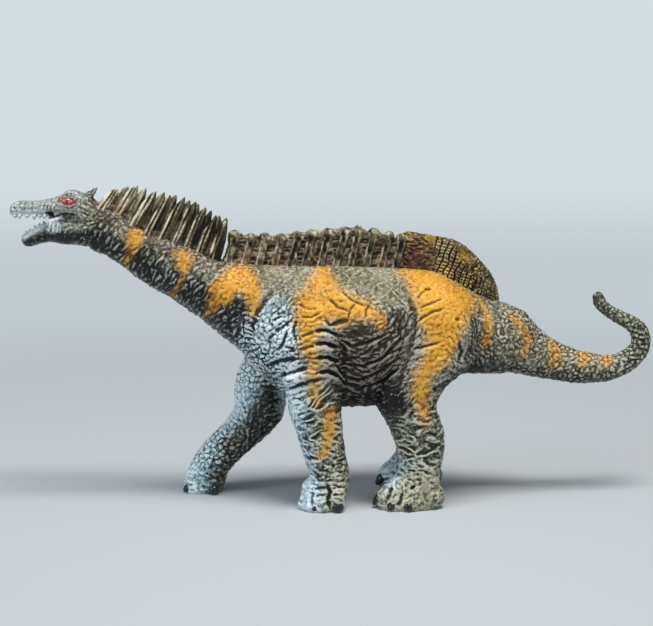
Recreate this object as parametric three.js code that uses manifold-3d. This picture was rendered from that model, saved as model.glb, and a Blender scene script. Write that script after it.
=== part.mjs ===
import * as THREE from 'three';
import { mergeVertices } from 'three/addons/utils/BufferGeometryUtils.js';
import Module from 'manifold-3d';

const wasm = await Module();
wasm.setup();

// Lengths are millimetres. The head points to -X, the figure's left side to -Y, soles at zero height.

// Trunk and neck, moulded as two hollow halves that meet on the middle plane
const bodyLength = 116;
const backHeight = 66.8;
const bodyHalfWidth = 18.7;
const wall = 2.8;
const bodyRings = 46;
const bodySides = 28;
const cavityRings = 18;
const cavitySides = 14;
const fullnessShare = 0.86;
const neckFrontX = -65.5;
// Shares of body length, back height, back height and half width: place, top, underside, half width
const bodyShares = [
  [0.00, 1.287, 1.072, 0.27],
  [0.03, 1.261, 1.054, 0.27],
  [0.07, 1.234, 1.011, 0.29],
  [0.10, 1.197, 0.964, 0.30],
  [0.14, 1.155, 0.920, 0.33],
  [0.19, 1.126, 0.868, 0.37],
  [0.23, 1.096, 0.818, 0.41],
  [0.27, 1.061, 0.768, 0.47],
  [0.31, 1.028, 0.709, 0.55],
  [0.36, 1.015, 0.640, 0.64],
  [0.40, 1.008, 0.551, 0.75],
  [0.45, 1.005, 0.475, 0.86],
  [0.51, 1.002, 0.428, 0.94],
  [0.58, 1.000, 0.410, 0.99],
  [0.65, 0.996, 0.406, 1.00],
  [0.71, 0.992, 0.415, 0.97],
  [0.77, 0.985, 0.440, 0.91],
  [0.83, 0.972, 0.484, 0.81],
  [0.89, 0.916, 0.533, 0.68],
  [0.95, 0.861, 0.537, 0.58],
  [1.00, 0.836, 0.532, 0.50],
];
const cavityShares = { from: 0.13, to: 1 };

// Folds and swellings of the flanks. Their rise is a share of foldHeight, above zero outwards, their
// half width a share of foldWidth, and their line runs over shares of body length and back height.
const foldHeight = 1.4;
const foldWidth = 3.4;
const foldShares = [
  { rise: -0.7, width: 0.9, line: [[0.433, 0.93], [0.393, 0.844], [0.374, 0.733]] },
  { rise: -0.6, width: 0.8, line: [[0.467, 0.80], [0.443, 0.774], [0.41, 0.705]] },
  { rise: 0.5, width: 1.3, line: [[0.487, 0.72], [0.487, 0.64]] },
  { rise: -0.6, width: 0.8, line: [[0.516, 0.811], [0.544, 0.811], [0.572, 0.744]] },
  { rise: 0.5, width: 0.9, line: [[0.549, 0.76], [0.551, 0.65]] },
  { rise: -0.8, width: 1, line: [[0.579, 0.728], [0.594, 0.67], [0.591, 0.603], [0.596, 0.537]] },
  { rise: 0.6, width: 2, line: [[0.655, 0.71], [0.69, 0.68]] },
  { rise: -1, width: 1.2, line: [[0.737, 0.921], [0.76, 0.8], [0.745, 0.647], [0.721, 0.514]] },
  { rise: 0.6, width: 1.7, line: [[0.80, 0.87], [0.82, 0.79]] },
  { rise: -0.6, width: 0.9, line: [[0.904, 0.82], [0.911, 0.752], [0.909, 0.681], [0.89, 0.627]] },
];

// Fits between moulded pieces, and what lines them up
const clearance = 0.3;
const overrun = 20;
const postRadius = 2.4;
const pinRadius = 1.1;
const pinLength = 3;
const roundSides = 12;
const postShares = [[0.27, 0.915], [0.66, 0.76], [0.90, 0.72]];
const pegRadius = 3;
const pegReach = 3.5;
const keySides = 6;

// Head, with the upper jaw and its teeth
const headLength = 22.2;
const headHeight = 17.4;
const headHalfWidth = 5.9;
const headSides = 16;
const headPegRadius = 2.3;
const headPegReach = 5;
// Shares: place from the neck, top and underside from the neck's axis, half width
const headShares = [
  [0.00, 0.41, -0.41, 0.85],
  [0.07, 0.49, -0.38, 0.90],
  [0.16, 0.59, -0.32, 0.97],
  [0.23, 0.59, -0.30, 1.00],
  [0.28, 0.57, 0.12, 1.00],
  [0.38, 0.51, 0.15, 0.93],
  [0.51, 0.44, 0.18, 0.81],
  [0.64, 0.39, 0.20, 0.73],
  [0.77, 0.38, 0.21, 0.69],
  [0.89, 0.38, 0.20, 0.63],
  [0.97, 0.34, 0.19, 0.46],
  [1.00, 0.29, 0.21, 0.24],
];
const jawShares = [
  [0.25, 0.07, -0.31, 0.88],
  [0.33, 0.09, -0.31, 0.85],
  [0.44, 0.09, -0.27, 0.75],
  [0.55, 0.06, -0.26, 0.66],
  [0.66, 0.00, -0.29, 0.59],
  [0.77, -0.09, -0.34, 0.51],
  [0.84, -0.13, -0.28, 0.34],
  [0.87, -0.16, -0.21, 0.17],
];
const jawTenonLength = 6;
const jawTenonWidth = 3;
const jawTenonHeight = 2.6;
const jawTenonShares = { x: 0.27, z: -0.16 };
const toothLength = 1.6;
const toothRadius = 0.42;
const toothSides = 5;
const toothInset = 0.6;
const upperTeeth = { count: 9, fromShare: 0.50, toShare: 0.95 };
const lowerTeeth = { count: 8, fromShare: 0.48, toShare: 0.83 };
const eyeRadius = 1.7;
const eyeShares = { x: 0.30, z: 0.38, y: 0.86 };
const hornLength = 4;
const hornRadius = 1.1;
const hornRiseShare = 0.5;
const hornShares = { x: 0.09, z: 0.46, y: 0.36 };

// Neck spines: two strips of blades that lean back, each strip seated in a groove
const spineHeight = 12;
const spineThickness = 2.9;
const spineGap = 0.5;
const spineSides = 6;
const spineRowOffset = 2.4;
const spineCount = 9;
const spineRow = { fromShare: 0.030, toShare: 0.289 };
const spineLean = { front: 34, back: 19 };
// Shares of a blade: how far up, width along the neck, thickness
const bladeShares = [[0, 1, 1], [0.35, 0.86, 0.85], [0.75, 0.56, 0.6], [0.95, 0.34, 0.38], [1, 0.16, 0.18]];
const frontSpineShare = 0.45;
const backSpineShare = 0.88;
const tenonThickness = 1.6;
const tenonDepth = 1.4;
const tenonProud = 1;
const stripSteps = 12;

// Ribbed ridge along the back
const ridgeHeight = 11.8;
const ribWidth = 2.2;
const ribThickness = 4.6;
const ribSides = 6;
const ribLean = 10;
const ridgeWebThickness = 3;
const ridgeWebShare = 0.77;
const ridgeRow = { fromShare: 0.320, toShare: 0.746 };
// How high each rib stands, from the neck to the hip
const ribRiseShares = [0.74, 0.73, 0.76, 0.77, 0.83, 0.88, 0.92, 0.97, 1.00, 0.94, 0.88, 0.82];
// Shares of a rib: how far up, width along the back, thickness
const ribShares = [[0, 1, 1], [0.7, 1, 0.92], [0.92, 0.9, 0.66], [1, 0.4, 0.3]];

// Low scaly sail over the hip
const sailLengthShare = 0.231;
const sailHeight = 10.3;
const sailThickness = 4;
const sailEdge = 0.8;
const sailFrontShare = 0.759;
const sailFootShare = 0.987;
// Shares of the sail's length and height, counted up from the back
const sailShares = [
  [0.00, -0.60], [0.04, 0.99], [0.18, 0.91], [0.33, 0.83], [0.48, 0.81], [0.59, 0.69],
  [0.69, 0.49], [0.80, 0.23], [0.91, -0.06], [0.99, -0.35], [1.01, -0.76], [1.01, -1.60],
];

// Legs: shares of back height, leg thickness (front and back edge) and body half width (outer, inner)
const frontLegThickness = 12;
const hindLegThickness = 12;
const legSides = 14;
const frontLeftShares = [
  [0.000, -0.45, 0.41, 0.94, 0.45],
  [0.033, -0.55, 0.46, 0.97, 0.42],
  [0.072, -0.53, 0.47, 0.98, 0.42],
  [0.109, -0.41, 0.52, 0.96, 0.43],
  [0.156, -0.35, 0.52, 0.94, 0.45],
  [0.225, -0.50, 0.44, 0.95, 0.44],
  [0.314, -0.64, 0.38, 0.97, 0.42],
  [0.419, -0.85, 0.33, 1.01, 0.37],
  [0.500, -0.91, 0.36, 1.02, 0.34],
  [0.560, -0.97, 0.40, 1.07, 0.35],
  [0.614, -0.94, 0.44, 1.05, 0.37],
  [0.680, -0.94, 0.46, 1.07, 0.41],
  [0.735, -0.88, 0.44, 1.05, 0.44],
  [0.793, -0.76, 0.36, 1.01, 0.48],
  [0.846, -0.61, 0.19, 0.91, 0.53],
  [0.892, -0.45, 0.05, 0.76, 0.55],
];
const frontRightShares = [
  [0.000, -2.11, -1.40, 0.94, 0.45],
  [0.033, -2.21, -1.31, 0.97, 0.42],
  [0.082, -2.19, -1.25, 0.96, 0.42],
  [0.144, -2.08, -0.95, 0.93, 0.40],
  [0.198, -1.86, -0.60, 0.93, 0.39],
  [0.254, -1.57, -0.23, 0.93, 0.37],
  [0.311, -1.24, 0.06, 0.94, 0.36],
  [0.374, -1.04, 0.16, 0.95, 0.35],
  [0.449, -1.05, 0.23, 0.97, 0.34],
  [0.509, -0.99, 0.34, 0.98, 0.33],
  [0.599, -0.77, 0.59, 0.99, 0.37],
  [0.689, -0.53, 0.76, 0.98, 0.43],
  [0.778, -0.28, 0.76, 0.91, 0.48],
  [0.846, -0.07, 0.59, 0.78, 0.51],
];
const hindShares = [
  [0.000, -1.49, -0.17, 1.02, 0.48],
  [0.027, -1.60, -0.13, 1.03, 0.46],
  [0.060, -1.57, -0.13, 1.03, 0.46],
  [0.090, -1.42, -0.15, 1.03, 0.46],
  [0.120, -1.20, -0.17, 1.02, 0.47],
  [0.156, -1.06, -0.14, 0.99, 0.48],
  [0.210, -1.05, -0.07, 0.99, 0.47],
  [0.269, -1.14, -0.04, 1.01, 0.45],
  [0.344, -1.30, -0.07, 1.03, 0.42],
  [0.434, -1.60, -0.24, 1.05, 0.37],
  [0.509, -1.52, -0.03, 1.07, 0.35],
  [0.599, -1.31, 0.56, 1.07, 0.35],
  [0.689, -1.14, 0.73, 1.06, 0.37],
  [0.778, -1.01, 0.66, 1.00, 0.43],
  [0.868, -0.80, 0.43, 0.83, 0.43],
  [0.943, -0.51, 0.17, 0.52, 0.35],
];
// How far the right hind foot stands behind the left one
const hindStep = 4;
const toeLength = 2.8;
const toeWidth = 2.5;
const toeHeight = 4.2;
const clawLength = 2.6;
const clawRadius = 1.2;
const clawSides = 6;
const toeReachShare = 0.66;

// Tail: shares of tail length, back height, and the trunk's radius where the tail starts
const tailLength = 43.1;
const tailSides = 14;
const tailRings = 36;
const tailShares = [
  [0.000, 0.685, 1.00],
  [0.106, 0.648, 0.79],
  [0.215, 0.612, 0.64],
  [0.342, 0.581, 0.52],
  [0.444, 0.563, 0.48],
  [0.563, 0.550, 0.43],
  [0.687, 0.547, 0.36],
  [0.796, 0.563, 0.31],
  [0.885, 0.598, 0.28],
  [0.932, 0.650, 0.27],
  [0.925, 0.700, 0.25],
  [0.868, 0.739, 0.21],
  [0.792, 0.765, 0.18],
  [0.708, 0.795, 0.16],
  [0.649, 0.831, 0.17],
  [0.634, 0.864, 0.14],
];
const tailPegRadius = 4;

const colours = {
  skin: 0x6a6f5c,
  underside: 0x585d50,
  head: 0x737a6b,
  jaw: 0x5d6358,
  spine: 0x5a4a33,
  ridge: 0x6d6a52,
  sail: 0x6b5a34,
  leg: 0x7a8478,
  tail: 0x676b55,
};
const paint = { roughness: 0.5, metalness: 0 };

const legOf = {
  front_left_leg: {
    rows: frontLeftShares, anchorShare: 0.552, pegShare: 0.69, side: -1,
    thickness: frontLegThickness, step: 0, toeAngles: [-38, 4, 44, 82],
  },
  front_right_leg: {
    rows: frontRightShares, anchorShare: 0.453, pegShare: 0.69, side: 1,
    thickness: frontLegThickness, step: 0, toeAngles: [-38, 4, 44, 82],
  },
  hind_left_leg: {
    rows: hindShares, anchorShare: 0.840, pegShare: 0.70, side: -1,
    thickness: hindLegThickness, step: 0, toeAngles: [-44, -12, 20, 52],
  },
  hind_right_leg: {
    rows: hindShares, anchorShare: 0.840, pegShare: 0.70, side: 1,
    thickness: hindLegThickness, step: hindStep, toeAngles: [-44, -12, 20, 52],
  },
};

const tailRootX = neckFrontX + bodyLength;

// Six times the volume inside a closed geometry, below zero where its faces point inwards
function signedBulk(geometry) {
  const corner = (i) => new THREE.Vector3().fromBufferAttribute(
    geometry.attributes.position, geometry.index.getX(i),
  );
  let bulk = 0;
  for (let i = 0; i < geometry.index.count; i += 3) {
    bulk += corner(i).dot(corner(i + 1).cross(corner(i + 2)));
  }
  return bulk;
}

// A solid from any closed geometry, turned the right way out
function solidOf(geometry) {
  geometry.deleteAttribute('normal');
  geometry.deleteAttribute('uv');
  const merged = mergeVertices(geometry);
  const triVerts = new Uint32Array(merged.index.array);
  if (signedBulk(merged) < 0) triVerts.reverse();
  const vertProperties = new Float32Array(merged.attributes.position.array);
  return new wasm.Manifold(new wasm.Mesh({ numProp: 3, vertProperties, triVerts }));
}

// The closed skin over rings with the same number of points, its two ends flat
function skin(rings) {
  const sides = rings[0].length;
  const points = rings.flat();
  const faces = [];
  for (let r = 0; r + 1 < rings.length; r++) {
    for (let s = 0; s < sides; s++) {
      const a = r * sides + s;
      const b = r * sides + (s + 1) % sides;
      faces.push(a, a + sides, b, b, a + sides, b + sides);
    }
  }
  const last = (rings.length - 1) * sides;
  for (let s = 1; s + 1 < sides; s++) {
    faces.push(0, s, s + 1);
    faces.push(last, last + s + 1, last + s);
  }
  const geometry = new THREE.BufferGeometry().setFromPoints(points);
  geometry.setIndex(faces);
  return solidOf(geometry);
}

function oval(sides, place) {
  const ring = [];
  for (let s = 0; s < sides; s++) {
    const angle = 2 * Math.PI * s / sides;
    ring.push(place(Math.sin(angle), Math.cos(angle)));
  }
  return ring;
}

function full(value) {
  return Math.sign(value) * Math.abs(value) ** fullnessShare;
}

// A row of a share table at any place between its rows, along a smooth curve
function rowAt(rows, along) {
  let i = 0;
  while (i < rows.length - 2 && along > rows[i + 1][0]) i++;
  const [a, b] = [rows[i], rows[i + 1]];
  const before = rows[Math.max(i - 1, 0)];
  const after = rows[Math.min(i + 2, rows.length - 1)];
  const span = b[0] - a[0];
  const t = (along - a[0]) / span;
  return a.map((value, k) => {
    const slopeA = (b[k] - before[k]) / (b[0] - before[0]) * span;
    const slopeB = (after[k] - value) / (after[0] - a[0]) * span;
    const cubic = 2 * t ** 3 - 3 * t ** 2;
    return value * (cubic + 1) - b[k] * cubic
      + slopeA * (t ** 3 - 2 * t ** 2 + t) + slopeB * (t ** 3 - t ** 2);
  });
}

// The trunk's section at a share of its length, in millimetres
function bodyAt(along) {
  const [, top, under, half] = rowAt(bodyShares, along);
  return {
    x: neckFrontX + along * bodyLength,
    middle: (top + under) / 2 * backHeight,
    halfHeight: (top - under) / 2 * backHeight,
    halfWidth: half * bodyHalfWidth,
  };
}

// How far the folds lift the flank at a place along the trunk and a height
function foldAt(x, z) {
  const spot = new THREE.Vector3(x, 0, z);
  const nearest = new THREE.Vector3();
  let lift = 0;
  for (const { rise, width, line } of foldShares) {
    const corners = line.map(([along, up]) => new THREE.Vector3(
      neckFrontX + along * bodyLength, 0, up * backHeight,
    ));
    const gaps = corners.slice(1).map((corner, i) => new THREE.Line3(corners[i], corner)
      .closestPointToPoint(spot, true, nearest).distanceTo(spot));
    lift += rise * Math.exp(-((Math.min(...gaps) / (width * foldWidth)) ** 2));
  }
  return lift * foldHeight;
}

// How far the trunk's skin lies from the middle plane, at a place along it and a height
function bodySideAt(x, z) {
  const section = bodyAt((x - neckFrontX) / bodyLength);
  const upShare = Math.min(1, Math.abs(z - section.middle) / section.halfHeight);
  return (section.halfWidth + foldAt(x, z)) * full(Math.sqrt(1 - upShare ** 2));
}

// The height of the trunk's upper skin, at a place along it and a distance from the middle plane
function bodyTopAt(x, y) {
  const section = bodyAt((x - neckFrontX) / bodyLength);
  const asideShare = Math.min(1, Math.abs(y) / section.halfWidth) ** (1 / fullnessShare);
  return section.middle + section.halfHeight * Math.sqrt(1 - asideShare ** 2);
}

// The trunk and neck as one form, swollen or shrunk by a distance
function bodyForm(grow, ringCount = bodyRings, sides = bodySides, from = 0, to = 1) {
  const rings = [];
  for (let r = 0; r <= ringCount; r++) {
    const section = bodyAt(from + (to - from) * r / ringCount);
    const endShift = r === 0 ? -grow : r === ringCount ? grow : 0;
    rings.push(oval(sides, (u, v) => {
      const z = section.middle + (section.halfHeight + grow) * v;
      const halfWidth = section.halfWidth + grow + foldAt(section.x, z);
      return new THREE.Vector3(section.x + endShift, halfWidth * full(u), z);
    }));
  }
  return skin(rings);
}

function block(lowX, highX, lowY, highY, lowZ, highZ) {
  const geometry = new THREE.BoxGeometry(highX - lowX, highY - lowY, highZ - lowZ);
  geometry.translate((lowX + highX) / 2, (lowY + highY) / 2, (lowZ + highZ) / 2);
  return solidOf(geometry);
}

// A rod between two points; six sides make it a key
function rod(start, end, radius, sides = roundSides) {
  const along = end.clone().sub(start);
  const geometry = new THREE.CylinderGeometry(radius, radius, along.length(), sides);
  geometry.applyQuaternion(new THREE.Quaternion().setFromUnitVectors(
    new THREE.Vector3(0, 1, 0), along.clone().normalize(),
  ));
  const centre = start.clone().add(end).multiplyScalar(1 / 2);
  geometry.translate(centre.x, centre.y, centre.z);
  return solidOf(geometry);
}

function spike(base, direction, length, radius, sides) {
  const geometry = new THREE.ConeGeometry(radius, length, sides);
  geometry.translate(0, length / 2, 0);
  geometry.applyQuaternion(new THREE.Quaternion().setFromUnitVectors(
    new THREE.Vector3(0, 1, 0), direction.clone().normalize(),
  ));
  geometry.translate(base.x, base.y, base.z);
  return solidOf(geometry);
}

function ball(centre, radii, turn = 0) {
  const geometry = new THREE.SphereGeometry(1, 10, 8);
  geometry.rotateX(Math.PI / 2);
  geometry.scale(radii.x, radii.y, radii.z);
  geometry.rotateZ(turn);
  geometry.translate(centre.x, centre.y, centre.z);
  return solidOf(geometry);
}

function joined(solids) {
  return solids.reduce((sum, solid) => sum.add(solid));
}

// The piece itself, without the crumbs that a shallow cut leaves beside it
function mainPiece(solid) {
  return solid.decompose().sort((a, b) => b.volume() - a.volume())[0];
}

const group = new THREE.Group();

function addPiece(name, solid, colour) {
  const mesh = solid.getMesh();
  const geometry = new THREE.BufferGeometry();
  geometry.setAttribute('position', new THREE.BufferAttribute(new Float32Array(mesh.vertProperties), 3));
  geometry.setIndex(new THREE.BufferAttribute(new Uint32Array(mesh.triVerts), 1));
  geometry.computeVertexNormals();
  const piece = new THREE.Mesh(geometry, new THREE.MeshStandardMaterial({ color: colour, ...paint }));
  piece.name = name;
  group.add(piece);
}

const bodySwollen = bodyForm(clearance);

// A strip along the back, from one depth below the skin to a height above it
function strip([lowX, highX], y, thickness, depth, heightAt, steps = stripSteps) {
  const rings = [];
  for (let step = 0; step <= steps; step++) {
    const x = THREE.MathUtils.lerp(lowX, highX, step / steps);
    const [foot, crest] = [bodyTopAt(x, y) - depth, bodyTopAt(x, y) + heightAt(step / steps)];
    const [near, far] = [y - thickness / 2, y + thickness / 2];
    rings.push([[near, foot], [far, foot], [far, crest], [near, crest]]
      .map(([cornerY, cornerZ]) => new THREE.Vector3(x, cornerY, cornerZ)));
  }
  return skin(rings);
}

// The foot that a strip of spines, ribs or sail is seated on, or the groove for it
function tenon([lowX, highX], y, height, slack = 0) {
  return strip(
    [lowX - slack, highX + slack], y, tenonThickness + 2 * slack, tenonDepth + slack, () => height,
  );
}

// Rings stacked along a leaning line, such as a blade or a rib
function leaning(base, lean, length, width, thickness, shares, sides) {
  const angle = THREE.MathUtils.degToRad(lean);
  const up = new THREE.Vector3(Math.sin(angle), 0, Math.cos(angle));
  const across = new THREE.Vector3(Math.cos(angle), 0, -Math.sin(angle));
  return skin(shares.map(([upShare, widthShare, thickShare]) => oval(sides, (u, v) => base.clone()
    .addScaledVector(up, upShare * length)
    .addScaledVector(across, v * width / 2 * widthShare)
    .add(new THREE.Vector3(0, u * thickness / 2 * thickShare, 0)))));
}

// Legs
function legForm({ rows, anchorShare, pegShare, side, thickness, step }) {
  const anchorX = neckFrontX + anchorShare * bodyLength;
  return skin(rows.map(([up, front, back, outer, inner]) => {
    const [x, halfX] = [(front + back) / 2, (back - front) / 2].map((share) => share * thickness);
    const [y, halfY] = [(outer + inner) / 2, (outer - inner) / 2].map((share) => share * bodyHalfWidth);
    const stepX = step * Math.max(0, 1 - up / pegShare);
    return oval(legSides, (u, v) => new THREE.Vector3(
      anchorX + stepX + x + halfX * full(v),
      side * (y + halfY * full(u)),
      up * backHeight,
    ));
  }));
}

function toesAndClaws({ rows, anchorShare, side, thickness, step, toeAngles }) {
  const [, front, back, outer, inner] = rows[1];
  const centreX = neckFrontX + anchorShare * bodyLength + step + (front + back) / 2 * thickness;
  const centreY = (outer + inner) / 2 * bodyHalfWidth;
  const reachX = (back - front) / 2 * thickness * toeReachShare;
  const reachY = (outer - inner) / 2 * bodyHalfWidth * toeReachShare;
  const pieces = toeAngles.map((degrees) => {
    const angle = THREE.MathUtils.degToRad(degrees);
    const outward = new THREE.Vector3(-Math.cos(angle), side * Math.sin(angle), 0);
    const centre = new THREE.Vector3(
      centreX + outward.x * reachX, side * centreY + outward.y * reachY, toeHeight / 3,
    );
    const toe = ball(centre, { x: toeLength, y: toeWidth, z: toeHeight }, Math.atan2(outward.y, outward.x));
    const clawBase = centre.clone().addScaledVector(outward, toeLength - clawRadius);
    clawBase.z += clawRadius;
    const claw = spike(clawBase, outward.clone().setZ(-1), clawLength, clawRadius, clawSides);
    return toe.add(claw);
  });
  return joined(pieces);
}

function pegEnds({ anchorShare, pegShare, side }) {
  const x = neckFrontX + anchorShare * bodyLength;
  const z = pegShare * backHeight;
  const skinY = bodySideAt(x, z);
  return [
    new THREE.Vector3(x, side * (skinY + clearance + wall / 4), z),
    new THREE.Vector3(x, side * (skinY - wall - pegReach), z),
  ];
}

const floorAndUp = block(
  neckFrontX - bodyLength, tailRootX + bodyLength, -bodyLength, bodyLength, 0, 2 * backHeight,
);

function makeLeg(leg) {
  const [outerEnd, innerEnd] = pegEnds(leg);
  const outside = mainPiece(legForm(leg).add(toesAndClaws(leg)).subtract(bodySwollen).intersect(floorAndUp));
  return outside.add(rod(outerEnd, innerEnd, pegRadius, keySides));
}

function legSocket(leg) {
  const [outerEnd, innerEnd] = pegEnds(leg);
  const outward = new THREE.Vector3(0, leg.side * overrun, 0);
  return rod(outerEnd.clone().add(outward), innerEnd, pegRadius + clearance, keySides);
}

// Neck spines: the right strip starts half a pitch behind the left one and has one blade fewer
const spineRows = {
  neck_spines_left: { side: -1, firstStep: 0 },
  neck_spines_right: { side: 1, firstStep: 0.5 },
};
const spinePitchShare = (spineRow.toShare - spineRow.fromShare) / (spineCount - 1);
const bladeWidth = spinePitchShare * bodyLength - spineGap;

function spineX(step) {
  return neckFrontX + (spineRow.fromShare + step * spinePitchShare) * bodyLength;
}

function spineReach({ firstStep }) {
  return [spineX(firstStep) - bladeWidth / 2, spineX(spineCount - 1 - firstStep) + bladeWidth / 2];
}

function makeSpines(row) {
  const blades = [];
  for (let step = row.firstStep; step < spineCount; step++) {
    const share = step / (spineCount - 1);
    const section = bodyAt(spineRow.fromShare + step * spinePitchShare);
    const rise = Math.min(frontSpineShare + 2 * share, 1 - (1 - backSpineShare) * share);
    const base = new THREE.Vector3(
      section.x, row.side * spineRowOffset, section.middle + section.halfHeight - tenonDepth,
    );
    blades.push(leaning(
      base, THREE.MathUtils.lerp(spineLean.front, spineLean.back, share),
      rise * spineHeight + tenonDepth, bladeWidth, spineThickness, bladeShares, spineSides,
    ));
  }
  const foot = tenon(spineReach(row), row.side * spineRowOffset, tenonProud);
  return mainPiece(joined(blades).subtract(bodySwollen).add(foot));
}

// Ridge and sail
const ridgeReach = [ridgeRow.fromShare, ridgeRow.toShare].map((share) => neckFrontX + share * bodyLength);

function makeRidge() {
  const [lowX, highX] = ridgeReach;
  const lastRib = ribRiseShares.length - 1;
  const webHeightAt = (along) => {
    const rib = Math.min(Math.floor(along * lastRib), lastRib - 1);
    const rise = THREE.MathUtils.lerp(ribRiseShares[rib], ribRiseShares[rib + 1], along * lastRib - rib);
    return ridgeWebShare * rise * ridgeHeight;
  };
  const pieces = [strip(ridgeReach, 0, ridgeWebThickness, tenonDepth, webHeightAt, lastRib)];
  ribRiseShares.forEach((rise, i) => {
    const x = THREE.MathUtils.lerp(lowX + ribWidth / 2, highX - ribWidth / 2, i / lastRib);
    const base = new THREE.Vector3(x, 0, bodyTopAt(x, 0) - tenonDepth);
    pieces.push(leaning(
      base, ribLean, rise * ridgeHeight + tenonDepth, ribWidth, ribThickness, ribShares, ribSides,
    ));
  });
  return mainPiece(joined(pieces).subtract(bodySwollen).add(tenon(ridgeReach, 0, tenonProud)));
}

const sailFrontX = neckFrontX + sailFrontShare * bodyLength;
const sailLength = sailLengthShare * bodyLength;
const sailReach = [sailFrontX + sailEdge, sailFrontX + sailLength - wall];

function makeSail() {
  const outline = new THREE.Shape(sailShares.map(([along, up]) => new THREE.Vector2(
    sailFrontX + along * sailLength, sailFootShare * backHeight + up * sailHeight,
  )));
  const geometry = new THREE.ExtrudeGeometry(outline, {
    depth: sailThickness - 2 * sailEdge, bevelThickness: sailEdge, bevelSize: sailEdge,
    bevelOffset: -sailEdge, bevelSegments: 1,
  });
  geometry.rotateX(Math.PI / 2);
  geometry.translate(0, sailThickness / 2 - sailEdge, 0);
  return mainPiece(solidOf(geometry).subtract(bodySwollen).add(tenon(sailReach, 0, tenonProud)));
}

// The two body halves
function makeBodyHalves() {
  const cavity = bodyForm(-wall, cavityRings, cavitySides, cavityShares.from, cavityShares.to);
  const outer = bodyForm(0);
  let whole = outer.subtract(cavity);
  const pins = [];
  const pinHoles = [];
  for (const [along, up] of postShares) {
    const [x, z] = [neckFrontX + along * bodyLength, up * backHeight];
    const at = (y) => new THREE.Vector3(x, y, z);
    const reach = bodySideAt(x, z) - wall / 2;
    whole = whole.add(rod(at(-reach), at(reach), postRadius));
    pins.push(rod(at(-pinLength), at(pinLength), pinRadius));
    pinHoles.push(rod(at(-pinLength), at(pinLength + clearance), pinRadius + clearance));
  }
  for (const leg of Object.values(legOf)) {
    whole = whole.subtract(legSocket(leg));
  }
  for (const row of Object.values(spineRows)) {
    whole = whole.subtract(tenon(spineReach(row), row.side * spineRowOffset, overrun, clearance));
  }
  whole = whole.subtract(tenon(ridgeReach, 0, overrun, clearance));
  whole = whole.subtract(tenon(sailReach, 0, overrun, clearance));
  whole = whole.subtract(rod(...headPegEnds(), headPegRadius + clearance, keySides));
  whole = whole.subtract(rod(...tailPegEnds(), tailPegRadius + clearance, keySides));
  const left = whole.trimByPlane([0, -1, 0], 0).add(joined(pins));
  const right = whole.trimByPlane([0, 1, 0], 0).subtract(joined(pinHoles));
  return { left: mainPiece(left), right: mainPiece(right) };
}

// Head and jaw
const neckFront = bodyAt(0);
const headAxisZ = neckFront.middle;

function headPegEnds() {
  return [
    new THREE.Vector3(neckFrontX - headPegReach, 0, headAxisZ),
    new THREE.Vector3(neckFrontX + headPegReach, 0, headAxisZ),
  ];
}

function headSkin(rows, grow) {
  return skin(rows.map(([along, top, under, half], i) => {
    const endShift = i === 0 ? grow : i === rows.length - 1 ? -grow : 0;
    const x = neckFrontX - clearance - along * headLength + endShift;
    return oval(headSides, (u, v) => new THREE.Vector3(
      x,
      -(half * headHalfWidth + grow) * full(u),
      headAxisZ + (top + under) / 2 * headHeight + ((top - under) / 2 * headHeight + grow) * v,
    ));
  }));
}

function teeth(rows, { count, fromShare, toShare }, edge, direction) {
  const solids = [];
  for (let i = 0; i < count; i++) {
    const along = fromShare + (toShare - fromShare) * i / (count - 1);
    const row = rowAt(rows, along);
    const y = row[3] * headHalfWidth * Math.sqrt(1 / 2);
    const z = headAxisZ + row[edge] * headHeight - direction * toothInset;
    for (const side of [-1, 1]) {
      const base = new THREE.Vector3(neckFrontX - along * headLength, side * y, z);
      solids.push(spike(base, new THREE.Vector3(0, 0, direction), toothLength, toothRadius, toothSides));
    }
  }
  return joined(solids);
}

function jawTenonBlock(slack) {
  const x = neckFrontX - jawTenonShares.x * headLength;
  const z = headAxisZ + jawTenonShares.z * headHeight;
  const [halfX, halfY, halfZ] = [jawTenonLength, jawTenonWidth, jawTenonHeight]
    .map((length) => length / 2 + slack);
  return block(x - halfX, x + halfX, -halfY, halfY, z - halfZ, z + halfZ);
}

function makeHead() {
  let head = headSkin(headShares, 0).add(teeth(headShares, upperTeeth, 2, -1));
  for (const side of [-1, 1]) {
    head = head.add(ball(new THREE.Vector3(
      neckFrontX - eyeShares.x * headLength,
      side * eyeShares.y * headHalfWidth,
      headAxisZ + eyeShares.z * headHeight,
    ), { x: eyeRadius, y: eyeRadius, z: eyeRadius }));
    const hornBase = new THREE.Vector3(
      neckFrontX - hornShares.x * headLength,
      side * hornShares.y * headHalfWidth,
      headAxisZ + hornShares.z * headHeight,
    );
    const hornSlope = new THREE.Vector3(1, 0, hornRiseShare);
    head = head.add(spike(hornBase, hornSlope, hornLength, hornRadius, spineSides));
  }
  const peg = rod(...headPegEnds(), headPegRadius, keySides);
  return mainPiece(head.subtract(bodySwollen)).add(peg).subtract(jawTenonBlock(clearance));
}

function makeJaw() {
  const jaw = headSkin(jawShares, 0).add(teeth(jawShares, lowerTeeth, 1, 1));
  return mainPiece(jaw.subtract(headSkin(headShares, clearance))).add(jawTenonBlock(0));
}

// Tail
const tailRoot = bodyAt(1);

function tailPegEnds() {
  return [
    new THREE.Vector3(tailRootX + 2 * wall, 0, tailRoot.middle),
    new THREE.Vector3(tailRootX - 2 * wall, 0, tailRoot.middle),
  ];
}

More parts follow.
